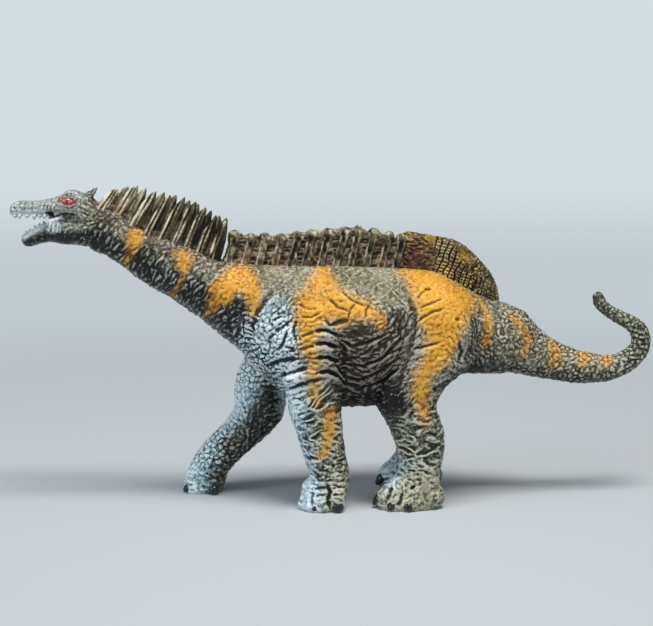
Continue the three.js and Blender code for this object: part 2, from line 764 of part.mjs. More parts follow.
function makeTail() {
  const line = new THREE.CatmullRomCurve3(tailShares.map(([along, up]) => new THREE.Vector3(
    tailRootX + clearance + along * tailLength, 0, up * backHeight,
  )), false, 'centripetal');
  const last = tailShares.length - 1;
  const rings = [];
  for (let r = 0; r <= tailRings; r++) {
    const t = r / tailRings;
    const i = Math.min(Math.floor(t * last), last - 1);
    const radiusShare = THREE.MathUtils.lerp(tailShares[i][2], tailShares[i + 1][2], t * last - i);
    const centre = line.getPoint(t);
    const along = r === 0 ? new THREE.Vector3(1, 0, 0) : line.getTangent(t);
    const up = new THREE.Vector3(-along.z, 0, along.x);
    rings.push(oval(tailSides, (u, v) => centre.clone()
      .addScaledVector(up, v * radiusShare * tailRoot.halfHeight)
      .add(new THREE.Vector3(0, u * radiusShare * tailRoot.halfWidth, 0))));
  }
  const tip = rings.at(-1).map((point) => point.clone());
  const tipCentre = line.getPoint(1);
  const onward = line.getTangent(1).multiplyScalar(tailShares[last][2] * tailRoot.halfHeight / 2);
  rings.push(tip.map((point) => point.lerp(tipCentre, 1 / 2).add(onward)));
  return skin(rings).add(rod(...tailPegEnds(), tailPegRadius, keySides));
}

const halves = makeBodyHalves();
addPiece('body_left_shell', halves.left, colours.skin);
addPiece('body_right_shell', halves.right, colours.underside);
addPiece('head', makeHead(), colours.head);
addPiece('lower_jaw', makeJaw(), colours.jaw);
for (const [name, row] of Object.entries(spineRows)) {
  addPiece(name, makeSpines(row), colours.spine);
}
addPiece('back_ridge', makeRidge(), colours.ridge);
addPiece('hip_sail', makeSail(), colours.sail);
for (const [name, leg] of Object.entries(legOf)) {
  addPiece(name, makeLeg(leg), colours.leg);
}
addPiece('tail', makeTail(), colours.tail);

// The origin is under the middle of the whole figure
const reach = new THREE.Box3().setFromObject(group);
group.position.set(-(reach.min.x + reach.max.x) / 2, -(reach.min.y + reach.max.y) / 2, -reach.min.z);

export default group;
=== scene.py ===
import math
from itertools import product

import bpy
import bmesh
import numpy as np
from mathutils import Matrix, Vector
from mathutils.bvhtree import BVHTree


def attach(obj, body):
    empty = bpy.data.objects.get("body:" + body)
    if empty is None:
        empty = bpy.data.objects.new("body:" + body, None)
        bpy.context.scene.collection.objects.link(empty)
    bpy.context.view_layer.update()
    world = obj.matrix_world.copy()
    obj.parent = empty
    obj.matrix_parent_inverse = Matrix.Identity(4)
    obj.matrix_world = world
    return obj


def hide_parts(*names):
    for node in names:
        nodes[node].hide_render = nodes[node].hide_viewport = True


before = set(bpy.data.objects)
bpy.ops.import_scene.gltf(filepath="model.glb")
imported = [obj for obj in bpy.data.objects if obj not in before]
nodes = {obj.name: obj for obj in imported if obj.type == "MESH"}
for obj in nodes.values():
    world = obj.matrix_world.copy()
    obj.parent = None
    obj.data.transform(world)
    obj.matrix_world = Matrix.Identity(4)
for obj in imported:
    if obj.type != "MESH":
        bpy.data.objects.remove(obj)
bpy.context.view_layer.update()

mm = 0.001

# Camera: where the photo was taken from, lengths in mm; the clip distances are in metres
cameraSpot = {
    "distance": 500.0, "height": 113.0, "turn": math.radians(5.5), "tilt": math.radians(6.8),
    "middleX": 2.876, "lens": 98.13, "sensor": 36.0, "wide": 653, "high": 626, "clip": (0.01, 10),
    # The far legs: how far out they start, and the height that they end below
    "farOut": (2, 6), "farTop": 48, "farSoft": 8,
}


def addToScene(name, data):
    obj = bpy.data.objects.new(name, data)
    bpy.context.scene.collection.objects.link(obj)
    return obj


def addCamera(spot):
    data = bpy.data.cameras.new("photoCamera")
    data.lens, data.sensor_width = spot["lens"], spot["sensor"]
    data.clip_start, data.clip_end = spot["clip"]
    camera = addToScene("photoCamera", data)
    camera.location = (
        (-spot["distance"] * math.sin(spot["turn"]) - spot["middleX"]) * mm,
        -spot["distance"] * math.cos(spot["turn"]) * mm,
        spot["height"] * mm,
    )
    camera.rotation_euler = (math.radians(90) - spot["tilt"], 0, -spot["turn"])
    bpy.context.scene.camera = camera


# From 0 at one value to 1 at another, soft at both ends
def ease(values, low, high):
    t = np.clip((values - low) / (high - low), 0, 1)
    return t * t * (3 - 2 * t)


# Where a point of the figure lands in the photo frame; the far side uses its mirror image, but for
# the far legs, which the photo shows from inside
def photoPlace(points, spot=cameraSpot):
    s, w, z = points[:, 0] + spot["middleX"], points[:, 1], points[:, 2]
    seen = ease(w, *spot["farOut"]) * ease(spot["farTop"] - z, 0, spot["farSoft"])
    w = w * seen - np.abs(w) * (1 - seen)
    turn, tilt = spot["turn"], spot["tilt"]
    x = s * math.cos(turn) - w * math.sin(turn)
    y = s * math.sin(turn) + w * math.cos(turn) + spot["distance"]
    up = z - spot["height"]
    ahead = y * math.cos(tilt) - up * math.sin(tilt)
    rise = y * math.sin(tilt) + up * math.cos(tilt)
    focal = spot["lens"] / spot["sensor"] * spot["wide"]
    return np.stack([spot["wide"] / 2 + focal * x / ahead, spot["high"] / 2 - focal * rise / ahead], 1)


def deselectAll():
    if bpy.context.mode != "OBJECT":
        bpy.ops.object.mode_set(mode="OBJECT")
    bpy.ops.object.select_all(action="DESELECT")


def makeActive(obj):
    deselectAll()
    obj.select_set(True)
    bpy.context.view_layer.objects.active = obj


def applyModifier(obj, kind, **settings):
    makeActive(obj)
    modifier = obj.modifiers.new(kind.lower(), kind)
    for key, value in settings.items():
        setattr(modifier, key, value)
    bpy.ops.object.modifier_apply(modifier=modifier.name)


def pointsOf(obj):
    values = np.empty(len(obj.data.vertices) * 3, np.float32)
    obj.data.vertices.foreach_get("co", values)
    return values.reshape(-1, 3).astype(float) / mm


def normalsOf(obj):
    values = np.empty(len(obj.data.vertices) * 3, np.float32)
    obj.data.vertex_normals.foreach_get("vector", values)
    return values.reshape(-1, 3).astype(float)


def edgesOf(obj):
    values = np.empty(len(obj.data.edges) * 2, np.int32)
    obj.data.edges.foreach_get("vertices", values)
    return values.reshape(-1, 2)


def setPoints(obj, points):
    obj.data.vertices.foreach_set("co", (points * mm).astype(np.float32).ravel())
    obj.data.update()


def setAttribute(obj, name, values):
    attribute = obj.data.attributes.get(name) or obj.data.attributes.new(name, "FLOAT", "POINT")
    attribute.data.foreach_set("value", values.astype(np.float32))


def meshObject(name, points, faces):
    mesh = bpy.data.meshes.new(name)
    mesh.from_pydata([tuple(p) for p in np.asarray(points) * mm], [], faces)
    mesh.update()
    return addToScene(name, mesh)


# Both ends of every edge, taken both ways round, and how many edges meet at each point
def meshLinks(edges, count):
    ends = np.concatenate([edges[:, 0], edges[:, 1]])
    others = np.concatenate([edges[:, 1], edges[:, 0]])
    return ends, others, np.maximum(np.bincount(ends, minlength=count), 1)


# Evens out a surface without shrinking it
def relax(points, edges, rounds, shrink=0.5, grow=-0.52):
    count = len(points)
    ends, others, degree = meshLinks(edges, count)
    for step in range(rounds * 2):
        share = grow if step % 2 else shrink
        middle = np.stack([np.bincount(ends, points[others, k], count) for k in range(3)], 1)
        points = points + share * (middle / degree[:, None] - points)
    return points


# Averages a value over its surroundings
def spread(values, edges, rounds):
    count = len(values)
    ends, others, degree = meshLinks(edges, count)
    for step in range(rounds):
        values = (values + np.bincount(ends, values[others], count) / degree) / 2
    return values


# An even random value from 0 to 1 for each whole-numbered place
def scatter(x, y, z, seed):
    h = (x * 374761393 + y * 668265263 + z * 1440662683 + seed * 974634777) & 0xFFFFFFFF
    h = ((h ^ (h >> 13)) * 1274126177) & 0xFFFFFFFF
    return ((h ^ (h >> 16)) & 0xFFFFFF) / 0xFFFFFF


# Soft noise round 0, with patches of a size in mm
def softNoise(points, size, seed, octaves=2):
    total = np.zeros(len(points))
    gain = 1.0
    for octave in range(octaves):
        p = points / (size / 2 ** octave)
        base = np.floor(p).astype(np.int64)
        f = p - base
        f = f * f * (3 - 2 * f)
        layer = np.zeros(len(points))
        for corner in product((0, 1), repeat=3):
            weight = np.prod([f[:, k] if corner[k] else 1 - f[:, k] for k in range(3)], axis=0)
            layer += weight * scatter(base[:, 0] + corner[0], base[:, 1] + corner[1],
                                      base[:, 2] + corner[2], seed + octave)
        total += gain * (2 * layer - 1)
        gain /= 2
    return total


# How far each point lies inside its own cell, from 0 on the border, and a number for each cell
def cellPattern(points, seed, loose=0.85):
    base = np.floor(points).astype(np.int64)
    nearest = np.full(len(points), 9.0)
    second = nearest.copy()
    tag = np.zeros(len(points))
    for offset in product((-1, 0, 1), repeat=3):
        cell = base + np.array(offset)
        middle = np.stack([scatter(*cell.T, seed + k) for k in range(3)], 1)
        gap = np.sqrt(((cell + 0.5 + loose * (middle - 0.5) - points) ** 2).sum(1))
        tag = np.where(gap < nearest, middle[:, 0], tag)
        second = np.minimum(second, np.maximum(nearest, gap))
        nearest = np.minimum(nearest, gap)
    return second - nearest, tag


# Signed distance in photo pixels to a closed outline, above zero inside it
def insideBy(places, outline):
    corners = np.array(outline, float)
    best = np.full(len(places), 1e9)
    inside = np.zeros(len(places), bool)
    for a, b in zip(corners, np.roll(corners, -1, 0)):
        run = b - a
        t = np.clip(((places - a) @ run) / (run @ run), 0, 1)
        best = np.minimum(best, np.hypot(*(places - a - t[:, None] * run).T))
        crosses = (a[1] > places[:, 1]) != (b[1] > places[:, 1])
        inside ^= crosses & (places[:, 0] < run[0] * (places[:, 1] - a[1]) / (run[1] + 1e-9) + a[0])
    return np.where(inside, best, -best)


# Distance in photo pixels to an open line, and how far along it the nearest spot is
def nearLine(places, line):
    corners = np.array(line, float)
    lengths = np.hypot(*(corners[1:] - corners[:-1]).T)
    best = np.full(len(places), 1e9)
    along = np.zeros(len(places))
    done = 0.0
    for a, b, length in zip(corners, corners[1:], lengths):
        run = b - a
        t = np.clip(((places - a) @ run) / (run @ run), 0, 1)
        gap = np.hypot(*(places - a - t[:, None] * run).T)
        closer = gap < best
        best = np.where(closer, gap, best)
        along = np.where(closer, (done + t * length) / lengths.sum(), along)
        done += length
    return best, along


addCamera(cameraSpot)


# Joins meshes into one object, which is made the active one
def joinAll(objects, name):
    deselectAll()
    for obj in objects:
        obj.select_set(True)
    bpy.context.view_layer.objects.active = objects[0]
    if len(objects) > 1:
        bpy.ops.object.join()
    joined = bpy.context.view_layer.objects.active
    joined.name = name
    return joined


def addBall(centre, radii, turn=0.0, segments=24, rings=14):
    bpy.ops.mesh.primitive_uv_sphere_add(
        segments=segments, ring_count=rings, radius=mm, location=[c * mm for c in centre])
    ball = bpy.context.object
    ball.scale = radii
    ball.rotation_euler = (0, 0, math.radians(turn))
    makeActive(ball)
    bpy.ops.object.transform_apply(location=True, rotation=True, scale=True)
    return ball


def ringFaces(rings, sides):
    faces = []
    for r in range(rings - 1):
        for s in range(sides):
            a, b = r * sides + s, r * sides + (s + 1) % sides
            faces.append((a, b, b + sides, a + sides))
    return faces


def turnOutwards(obj):
    makeActive(obj)
    bpy.ops.object.mode_set(mode="EDIT")
    bpy.ops.mesh.select_all(action="SELECT")
    bpy.ops.mesh.normals_make_consistent(inside=False)
    bpy.ops.object.mode_set(mode="OBJECT")
    return obj


# A closed form over rings: each row is a centre, a direction ahead, half width, half height
def loft(name, rows, sides=24, full=0.86):
    points = []
    for centre, ahead, halfWidth, halfHeight in rows:
        ahead = Vector(ahead).normalized()
        aside = Vector((0, 0, 1)).cross(ahead).normalized()
        up = ahead.cross(aside)
        for s in range(sides):
            angle = 2 * math.pi * s / sides
            u, v = math.cos(angle), math.sin(angle)
            u, v = math.copysign(abs(u) ** full, u), math.copysign(abs(v) ** full, v)
            points.append(Vector(centre) + aside * (u * halfWidth) + up * (v * halfHeight))
    faces = ringFaces(len(rows), sides)
    faces.append(tuple(reversed(range(sides))))
    faces.append(tuple(range((len(rows) - 1) * sides, len(rows) * sides)))
    return turnOutwards(meshObject(name, points, faces))


# The body, legs, tail and head are one sculpted skin, made over the solids and then parted where they part
skinBuild = {
    "swell": 0.25, "voxel": 0.58, "rounds": 14, "weld": 0.01, "seam": 0.1, "sharp": 75,
    "nodes": ["body_left_shell", "body_right_shell", "front_left_leg", "front_right_leg",
              "hind_left_leg", "hind_right_leg", "tail", "head", "lower_jaw"],
    "face": ("head", "lower_jaw"),
}

# Skull and jaw rings: place along, top, underside, half width; then the horns, and the skin that closes the
# corners of the mouth
headForm = {
    "skull": [
        (-60.0, 83.6, 74.0, 4.6), (-64.5, 84.6, 74.5, 4.9), (-68.0, 85.9, 76.0, 5.2),
        (-70.4, 87.6, 78.0, 5.6), (-72.8, 88.6, 79.6, 5.9), (-75.0, 88.2, 80.4, 5.9),
        (-77.2, 87.0, 80.9, 5.4), (-80.0, 86.1, 81.3, 4.7), (-82.9, 85.6, 81.6, 4.2),
        (-85.8, 85.6, 81.7, 4.0), (-88.4, 85.6, 81.5, 3.7), (-90.0, 85.0, 81.3, 2.8),
        (-90.7, 84.0, 81.8, 1.6),
    ],
    "jaw": [
        (-62.0, 80.0, 71.9, 4.8), (-66.0, 80.6, 72.2, 5.0), (-70.0, 81.0, 72.9, 5.3),
        (-73.5, 81.0, 73.3, 5.4), (-76.5, 80.8, 73.3, 5.0), (-79.5, 80.2, 74.1, 4.4),
        (-82.5, 79.1, 73.6, 3.9), (-85.2, 77.5, 72.8, 3.4), (-86.9, 76.5, 73.1, 2.6),
        (-87.7, 75.9, 73.9, 1.4),
    ],
    "horn": {"base": (-69.6, 2.1, 86.2), "tip": (-66.4, 2.5, 89.4), "radius": 1.5},
    "web": {"centre": (-78.4, 3.9, 79.4), "radii": (2.4, 0.7, 3.4)},
}

# Toes of each foot: place of the middle, then reach along, across and up, and the way the toe points; a hind
# foot's last one is its heel. The far hind foot is the near one's mirror image, one step behind it
footToes = {
    "front_left": [
        ((-8.5, -12.3, 4.2), (2.7, 2.9, 4.4), 0), ((-6.1, -15.7, 3.5), (2.9, 2.4, 4.4), 50),
        ((-1.7, -16.4, 3.7), (2.9, 2.7, 4.6), 95), ((-6.8, -8.9, 3.2), (2.8, 2.4, 4.2), -55),
    ],
    "front_right": [
        ((-40.1, 11.0, 4.0), (2.9, 2.6, 4.4), 15), ((-35.2, 9.3, 3.4), (2.8, 2.6, 4.2), 75),
        ((-39.6, 15.2, 3.4), (2.9, 2.4, 4.2), -35), ((-35.4, 17.2, 3.2), (2.8, 2.4, 4.0), -80),
    ],
    "hind_left": [
        ((14.6, -13.0, 3.0), (4.0, 2.5, 3.0), 8), ((15.8, -16.4, 2.5), (3.6, 2.2, 2.5), 35),
        ((19.6, -17.6, 2.2), (3.2, 2.2, 2.3), 62), ((16.2, -9.6, 2.6), (3.4, 2.2, 2.6), -35),
        ((25.0, -14.4, 3.2), (3.8, 4.6, 3.8), 0),
    ],
}
hindStep = 4.0
footToes["hind_right"] = [
    ((x + hindStep, -y, z), reach, -turn) for (x, y, z), reach, turn in footToes["hind_left"]]


def headRows(rows):
    return [((x, 0, (top + under) / 2), (-1, 0, 0), half, (top - under) / 2) for x, top, under, half in rows]


def makeHeadForms(form):
    forms = [loft("skull", headRows(form["skull"])), loft("jaw", headRows(form["jaw"]))]
    horn, web = form["horn"], form["web"]
    for side in (-1, 1):
        base, tip = (Vector((p[0], side * p[1], p[2])) for p in (horn["base"], horn["tip"]))
        rows = []
        for t in (0, 0.35, 0.7, 1):
            radius = horn["radius"] * (1 - 0.75 * t)
            rows.append((base.lerp(tip, t), tip - base, radius, radius))
        forms.append(loft("horn", rows, sides=12, full=1))
        x, y, z = web["centre"]
        forms.append(addBall((x, side * y, z), web["radii"]))
    return forms


def copyNode(name, weld):
    obj = addToScene(name + "_copy", nodes[name].data.copy())
    makeActive(obj)
    bpy.ops.object.mode_set(mode="EDIT")
    bpy.ops.mesh.select_all(action="SELECT")
    bpy.ops.mesh.remove_doubles(threshold=weld * mm)
    bpy.ops.object.mode_set(mode="OBJECT")
    return obj


def treeOf(obj):
    return BVHTree.FromPolygons([v.co for v in obj.data.vertices], [p.vertices for p in obj.data.polygons])


def keepLargestPart(obj):
    mesh = bmesh.new()
    mesh.from_mesh(obj.data)
    seen, largest = set(), []
    for start in mesh.verts:
        if start.index in seen:
            continue
        part, stack = [], [start]
        seen.add(start.index)
        while stack:
            vertex = stack.pop()
            part.append(vertex)
            for edge in vertex.link_edges:
                other = edge.other_vert(vertex)
                if other.index not in seen:
                    seen.add(other.index)
                    stack.append(other)
        if len(part) > len(largest):
            largest = part
    keep = set(largest)
    bmesh.ops.delete(mesh, geom=[v for v in mesh.verts if v not in keep], context="VERTS")
    mesh.to_mesh(obj.data)
    mesh.free()


# One even skin over several closed forms that touch or overlap
def mergeForms(objects, name, voxel, rounds):
    merged = joinAll(objects, name)
    merged.data.materials.clear()
    applyModifier(merged, "REMESH", mode="VOXEL", voxel_size=voxel * mm, adaptivity=0)
    keepLargestPart(merged)
    setPoints(merged, relax(pointsOf(merged), edgesOf(merged), rounds))
    return merged


# Height of a surface under a place, in mm, met from well above the figure
def topOf(tree, x, y, above=200):
    return tree.ray_cast(Vector((x, y, above)) * mm, Vector((0, 0, -1)))[0].z / mm


# A bar that closes the grooves in which the spines, the ridge and the sail are seated
backLine = {
    "fromX": -66.0, "toX": 46.0, "steps": 40, "aside": -1.2, "neckTo": -32, "neckWidth": 3.5,
    "backWidth": 2.0, "depth": 1.5, "proud": 0.15,
}


def makeBackLine(tree, line):
    rows = []
    for x in np.linspace(line["fromX"], line["toX"], line["steps"]):
        width = line["neckWidth"] if x < line["neckTo"] else line["backWidth"]
        z = topOf(tree, x, line["aside"]) + line["proud"] - line["depth"]
        rows.append(((x, 0, z), (1, 0, 0), width, line["depth"]))
    return loft("backLine", rows, sides=16)


def makeSkin(build):
    forms, trees = [], {}
    for name in build["nodes"]:
        obj = copyNode(name, build["weld"])
        trees[name] = treeOf(obj)
        if name in build["face"]:
            bpy.data.objects.remove(obj)
            continue
        applyModifier(obj, "DISPLACE", strength=build["swell"] * mm, mid_level=0)
        forms.append(obj)
    forms += makeHeadForms(headForm) + [makeBackLine(trees["body_left_shell"], backLine)]
    for toes in footToes.values():
        for centre, radii, turn in toes:
            forms.append(addBall(centre, radii, turn))
    return mergeForms(forms, "skin", build["voxel"], build["rounds"]), trees


skin, nodeTrees = makeSkin(skinBuild)
print("skin base", len(skin.data.vertices), len(skin.data.polygons))


# Marks each face of the skin with the solid that it belongs to, which is the nearest one
def labelFaces(obj, trees, seam):
    names = list(trees)
    attribute = obj.data.attributes.new("owner", "INT", "FACE")
    owners, last = [], 0
    for polygon in obj.data.polygons:
        best = trees[names[last]].find_nearest(polygon.center)[3]
        for index, name in enumerate(names):
            gap = trees[name].find_nearest(polygon.center, best)[3]
            if gap is not None and gap < best:
                best, last = gap, index
        # A face on the parting plane is as near to one shell as to the other, so its side decides
        owners.append(int(polygon.center.y > seam * mm) if last < 2 else last)
    attribute.data.foreach_set("value", owners)
    return names


ownerNames = labelFaces(skin, nodeTrees, skinBuild["seam"])
skinTree = BVHTree.FromObject(skin, bpy.context.evaluated_depsgraph_get())
applyModifier(skin, "SUBSURF", levels=1, render_levels=1)
print("skin fine", len(skin.data.vertices), len(skin.data.polygons))

# How the skin runs at places of the photo frame: x, y, angle of the wrinkles, how much it wanders, then
# heights in mm of the fine raised ridges, the long lumps and the round lumps
skinGrain = [
    (60, 212, 20, 40, 0.04, 0.03, 0.05), (95, 206, -15, 40, 0.1, 0.1, 0.1),
    (100, 238, 62, 14, 0.06, 0.4, 0.04), (150, 272, 60, 14, 0.06, 0.46, 0.03),
    (195, 302, 58, 14, 0.06, 0.48, 0.03), (235, 335, 55, 16, 0.08, 0.46, 0.05),
    (130, 226, 30, 40, 0.18, 0.06, 0.06), (175, 248, 30, 40, 0.18, 0.06, 0.06),
    (215, 265, 20, 40, 0.18, 0.05, 0.06), (235, 280, 20, 40, 0.14, 0.06, 0.12),
    (262, 275, 30, 60, 0.18, 0, 0.05), (268, 300, 55, 25, 0.16, 0.1, 0.06),
    (252, 330, -25, 20, 0.08, 0.28, 0.14), (278, 325, 45, 20, 0.1, 0.28, 0.14),
    (245, 365, 30, 40, 0.06, 0.05, 0.32), (265, 400, 30, 25, 0.26, 0.1, 0.05),
    (240, 425, 80, 25, 0.16, 0.24, 0.1), (212, 448, 15, 30, 0.14, 0.1, 0.24),
    (205, 480, 0, 10, 0.22, 0.1, 0.02), (330, 268, 0, 45, 0.24, 0, 0.05), (375, 280, 0, 45, 0.24, 0, 0.06),
    (405, 285, -10, 40, 0.24, 0, 0.06), (320, 292, 10, 40, 0.17, 0.06, 0.06),
    (350, 306, -10, 30, 0.24, 0.1, 0.04), (305, 325, 0, 30, 0.08, 0.16, 0.12),
    (355, 330, 5, 20, 0.2, 0.2, 0), (345, 352, -30, 14, 0.3, 0.22, 0), (370, 350, 6, 12, 0.34, 0.22, 0),
    (398, 345, 42, 14, 0.3, 0.2, 0), (355, 378, -20, 12, 0.34, 0.18, 0), (385, 375, 30, 12, 0.34, 0.18, 0),
    (298, 355, 14, 20, 0.1, 0.32, 0.1), (325, 350, -10, 16, 0.12, 0.32, 0.06),
    (300, 385, 20, 20, 0.14, 0.28, 0.06), (322, 402, 24, 22, 0.38, 0.04, 0),
    (320, 430, 4, 26, 0.4, 0.03, 0), (326, 458, -8, 24, 0.4, 0.03, 0), (326, 478, 0, 12, 0.36, 0.06, 0),
    (324, 500, 0, 6, 0.24, 0.06, 0), (430, 285, 25, 35, 0.12, 0.04, 0.08),
    (440, 310, 20, 35, 0.14, 0.06, 0.08), (432, 345, 12, 25, 0.16, 0.16, 0.08),
    (405, 330, 60, 18, 0.14, 0.24, 0.04), (460, 345, -55, 20, 0.14, 0.22, 0.08),
    (480, 330, -60, 30, 0.16, 0.1, 0.1), (405, 375, 40, 20, 0.26, 0.16, 0.03),
    (428, 385, 8, 25, 0.28, 0.1, 0.06), (418, 410, 12, 24, 0.4, 0.04, 0), (420, 445, 4, 28, 0.42, 0.03, 0),
    (422, 468, -22, 26, 0.38, 0.03, 0), (415, 495, 50, 40, 0.22, 0.05, 0.04),
    (505, 345, -30, 40, 0.32, 0.14, 0.14), (560, 362, -10, 45, 0.28, 0.14, 0.16),
    (628, 352, 40, 45, 0.2, 0.1, 0.16), (605, 308, 60, 45, 0.06, 0.03, 0.1),
]
# Sizes of the wrinkles and lumps in mm. A warp bends them all, and the raised ridges run in two directions
# that cross at a share of how much the grain wanders
grainSizes = {
    "ridgeLength": 5.0, "ridgePitch": 1.9, "lumpLength": 3.6, "lumpWidth": 1.4, "roundLump": 1.5,
    "depth": 1.25, "warpSize": 3.2, "warp": 0.5, "crossing": 0.9, "uneven": 0.2, "unevenSize": 5,
}

# Long creases, as lines in the photo frame, with their depth in mm and half width in photo pixels
skinCreases = [
    ([(276, 288), (266, 298), (259, 309), (255, 320), (251, 336)], 0.7, 3.4),
    ([(291, 321), (281, 327), (272, 334), (267, 344)], 0.6, 2.6),
    ([(268, 366), (282, 361), (298, 358)], 0.8, 2.6), ([(279, 376), (292, 372), (308, 367)], 0.9, 2.4),
    ([(285, 389), (298, 386), (314, 381), (322, 380)], 1.0, 3.0),
    ([(314, 331), (326, 330), (340, 336)], 1.2, 2.2), ([(315, 344), (325, 343), (339, 348)], 1.2, 2.2),
    ([(317, 358), (327, 357), (340, 362)], 1.2, 2.2), ([(318, 373), (328, 371), (341, 377)], 1.1, 2.2),
    ([(300, 337), (308, 334), (314, 332)], 0.6, 1.8), ([(301, 350), (309, 347), (315, 345)], 0.6, 1.8),
    ([(287, 330), (284, 342), (277, 352)], 0.7, 2.0), ([(296, 318), (293, 330), (296, 342)], 0.5, 1.8),
    ([(313.5, 491), (311.5, 498), (313, 507)], 0.4, 2.2),
    ([(327, 484), (330, 492), (328, 500), (330, 509)], 0.6, 2.2),
    ([(348, 488), (346.5, 497), (347.5, 508)], 0.4, 1.8), ([(314, 489), (328, 487)], 0.24, 1.3),
    ([(315, 496), (328, 494)], 0.22, 1.3), ([(331, 488), (346, 487)], 0.24, 1.3),
    ([(332, 495), (346, 494)], 0.22, 1.3), ([(207, 466), (207.5, 495)], 0.8, 1.8),
    ([(191, 471), (206, 469)], 0.24, 1.3), ([(190, 478), (206, 476)], 0.22, 1.3),
    ([(209, 479), (225, 478)], 0.24, 1.3), ([(392, 486), (386, 501)], 0.6, 2.2),
    ([(403, 492), (399, 506)], 0.6, 2.2), ([(412, 486), (414, 489)], 0.9, 2.2),
    ([(298, 304), (307, 308), (318, 308)], 0.5, 1.6), ([(300, 316), (311, 317), (322, 312)], 0.5, 1.6),
    ([(328, 298), (338, 307), (352, 312)], 0.6, 1.6), ([(341, 291), (352, 300), (367, 307)], 0.4, 1.4),
    ([(348, 320), (350, 310), (356, 302)], 0.4, 1.4), ([(366, 318), (366, 310), (370, 304)], 0.4, 1.4),
    ([(312, 318), (324, 318), (332, 326), (336, 334)], 0.5, 2.6),
    ([(330, 326), (339, 322), (350, 320)], 0.8, 2.6),
    ([(339, 338), (345, 352), (344, 368), (346, 384)], 0.5, 3.4),
    ([(335, 352), (346, 364), (363, 366), (382, 358), (399, 342)], 0.7, 1.8),
    ([(336, 364), (345, 377), (358, 381), (376, 374), (398, 358)], 0.8, 1.9),
    ([(338, 374), (346, 384), (361, 389), (382, 382), (403, 364)], 0.8, 1.9),
    ([(337, 338), (351, 346), (367, 343), (384, 335)], 0.6, 1.7),
    ([(405, 290), (412, 306), (415, 322), (412, 340), (408, 356), (402, 372), (398, 388)], 0.6, 4.0),
    ([(417, 299), (421, 294), (426, 290)], 0.4, 1.4), ([(424, 289), (431, 289)], 0.7, 1.6),
    ([(419, 308), (430, 304), (444, 298)], 0.5, 1.3),
    ([(413, 325), (423, 317), (433, 312), (445, 309)], 0.6, 1.6), ([(455, 319), (460, 319)], 0.7, 1.6),
    ([(407, 350), (421, 347), (443, 342)], 0.6, 1.8),
    ([(472, 312), (475, 328), (474, 345), (466, 358)], 0.6, 3.0),
    ([(458, 340), (462, 352), (458, 364)], 0.6, 2.2), ([(432, 392), (441, 386), (452, 380)], 0.8, 2.6),
    ([(256, 404), (266, 398), (278, 396)], 0.6, 2.2), ([(238, 390), (248, 400), (262, 405)], 0.6, 2.0),
    ([(228, 432), (240, 440), (252, 444)], 0.5, 2.0),
]

# Rounded swellings: place in the photo frame, reach in photo pixels, height in mm
skinSwells = [
    (374, 345, 30, 0.7), (300, 350, 16, 0.5), (290, 381, 9, 1.1), (308, 376, 9, 0.8), (327, 337, 10, 0.9),
    (327, 351, 10, 0.9), (328, 365, 10, 0.9), (284, 343, 10, 0.6), (262, 328, 9, 0.6), (435, 310, 26, 0.4),
    (445, 366, 12, 0.7), (463, 338, 9, 0.5), (246, 395, 12, 0.6),
]


# The wrinkle settings at every point, blended from the places nearest to it
def grainAt(places, grain):
    table = np.array(grain, float)
    weights = np.zeros((len(places), len(table)), np.float32)
    for k, row in enumerate(table):
        weights[:, k] = 1 / (((places - row[:2]) ** 2).sum(1) + 30) ** 2
    weights /= weights.sum(1, keepdims=True)
    turn = np.radians(2 * table[:, 2])
    angle = np.arctan2(weights @ np.sin(turn), weights @ np.cos(turn)) / 2
    return angle, (weights @ table[:, 3:]).T


# A pattern drawn out along the grain: one layer for each of a few directions, faded into the next
def alongGrain(points, angle, length, width, pattern, layers=8):
    total = np.zeros(len(points))
    step = math.pi / layers
    for k in range(layers):
        away = np.abs((angle - k * step + math.pi / 2) % math.pi - math.pi / 2)
        near = np.nonzero(away < step)[0]
        turn = k * step
        p = points[near]
        drawn = np.stack([(p[:, 0] * math.cos(turn) + p[:, 2] * math.sin(turn)) / length, p[:, 1] / length,
                          (p[:, 2] * math.cos(turn) - p[:, 0] * math.sin(turn)) / width], 1)
        total[near] += pattern(drawn + 0.37 * k, 50 + 7 * k) * (1 - away[near] / step)
    return total


def thinRidges(points, seed, half=0.55):
    return np.clip(1 - np.abs(softNoise(points, 1, seed)) / half, 0, 1)


def longLumps(points, seed):
    return ease(cellPattern(points, seed)[0], 0.03, 0.62)


# Height of the wrinkles and lumps at every point, in mm. Each kind is set down by about the height that it
# has on average, so that the skin keeps its size
def grainHeight(points, places, grain, sizes):
    angle, (wander, ridge, longLump, roundLump) = grainAt(places, grain)
    warp = np.stack([softNoise(points, sizes["warpSize"], 11 + k) for k in range(3)], 1) * sizes["warp"]
    bent = points + warp
    cross = np.radians(wander) * sizes["crossing"]
    ridges = np.maximum(*[alongGrain(bent + 31 * sign, angle + sign * cross, sizes["ridgeLength"],
                                     sizes["ridgePitch"], thinRidges) for sign in (-1, 1)])
    longs = alongGrain(bent, angle, sizes["lumpLength"], sizes["lumpWidth"], longLumps)
    rounds = ease(cellPattern(bent / sizes["roundLump"], 5)[0], 0.02, 0.42)
    uneven = sizes["uneven"] * softNoise(points, sizes["unevenSize"], 21) * (ridge + longLump + roundLump)
    height = roundLump * (rounds - 0.6) + longLump * (longs - 0.6) + ridge * (ridges - 0.35) + uneven
    return sizes["depth"] * height


# Height along a line in the photo frame: round across, and lower towards both ends
def lineHeight(places, line, height, half, end, least):
    gap, along = nearLine(places, line)
    taper = ease(along, 0, end) * ease(1 - along, 0, end)
    return height * np.exp(-(gap / half) ** 2) * (least + (1 - least) * taper)


def spotShare(places, x, y, reach):
    return np.exp(-((places - (x, y)) ** 2).sum(1) / reach ** 2)


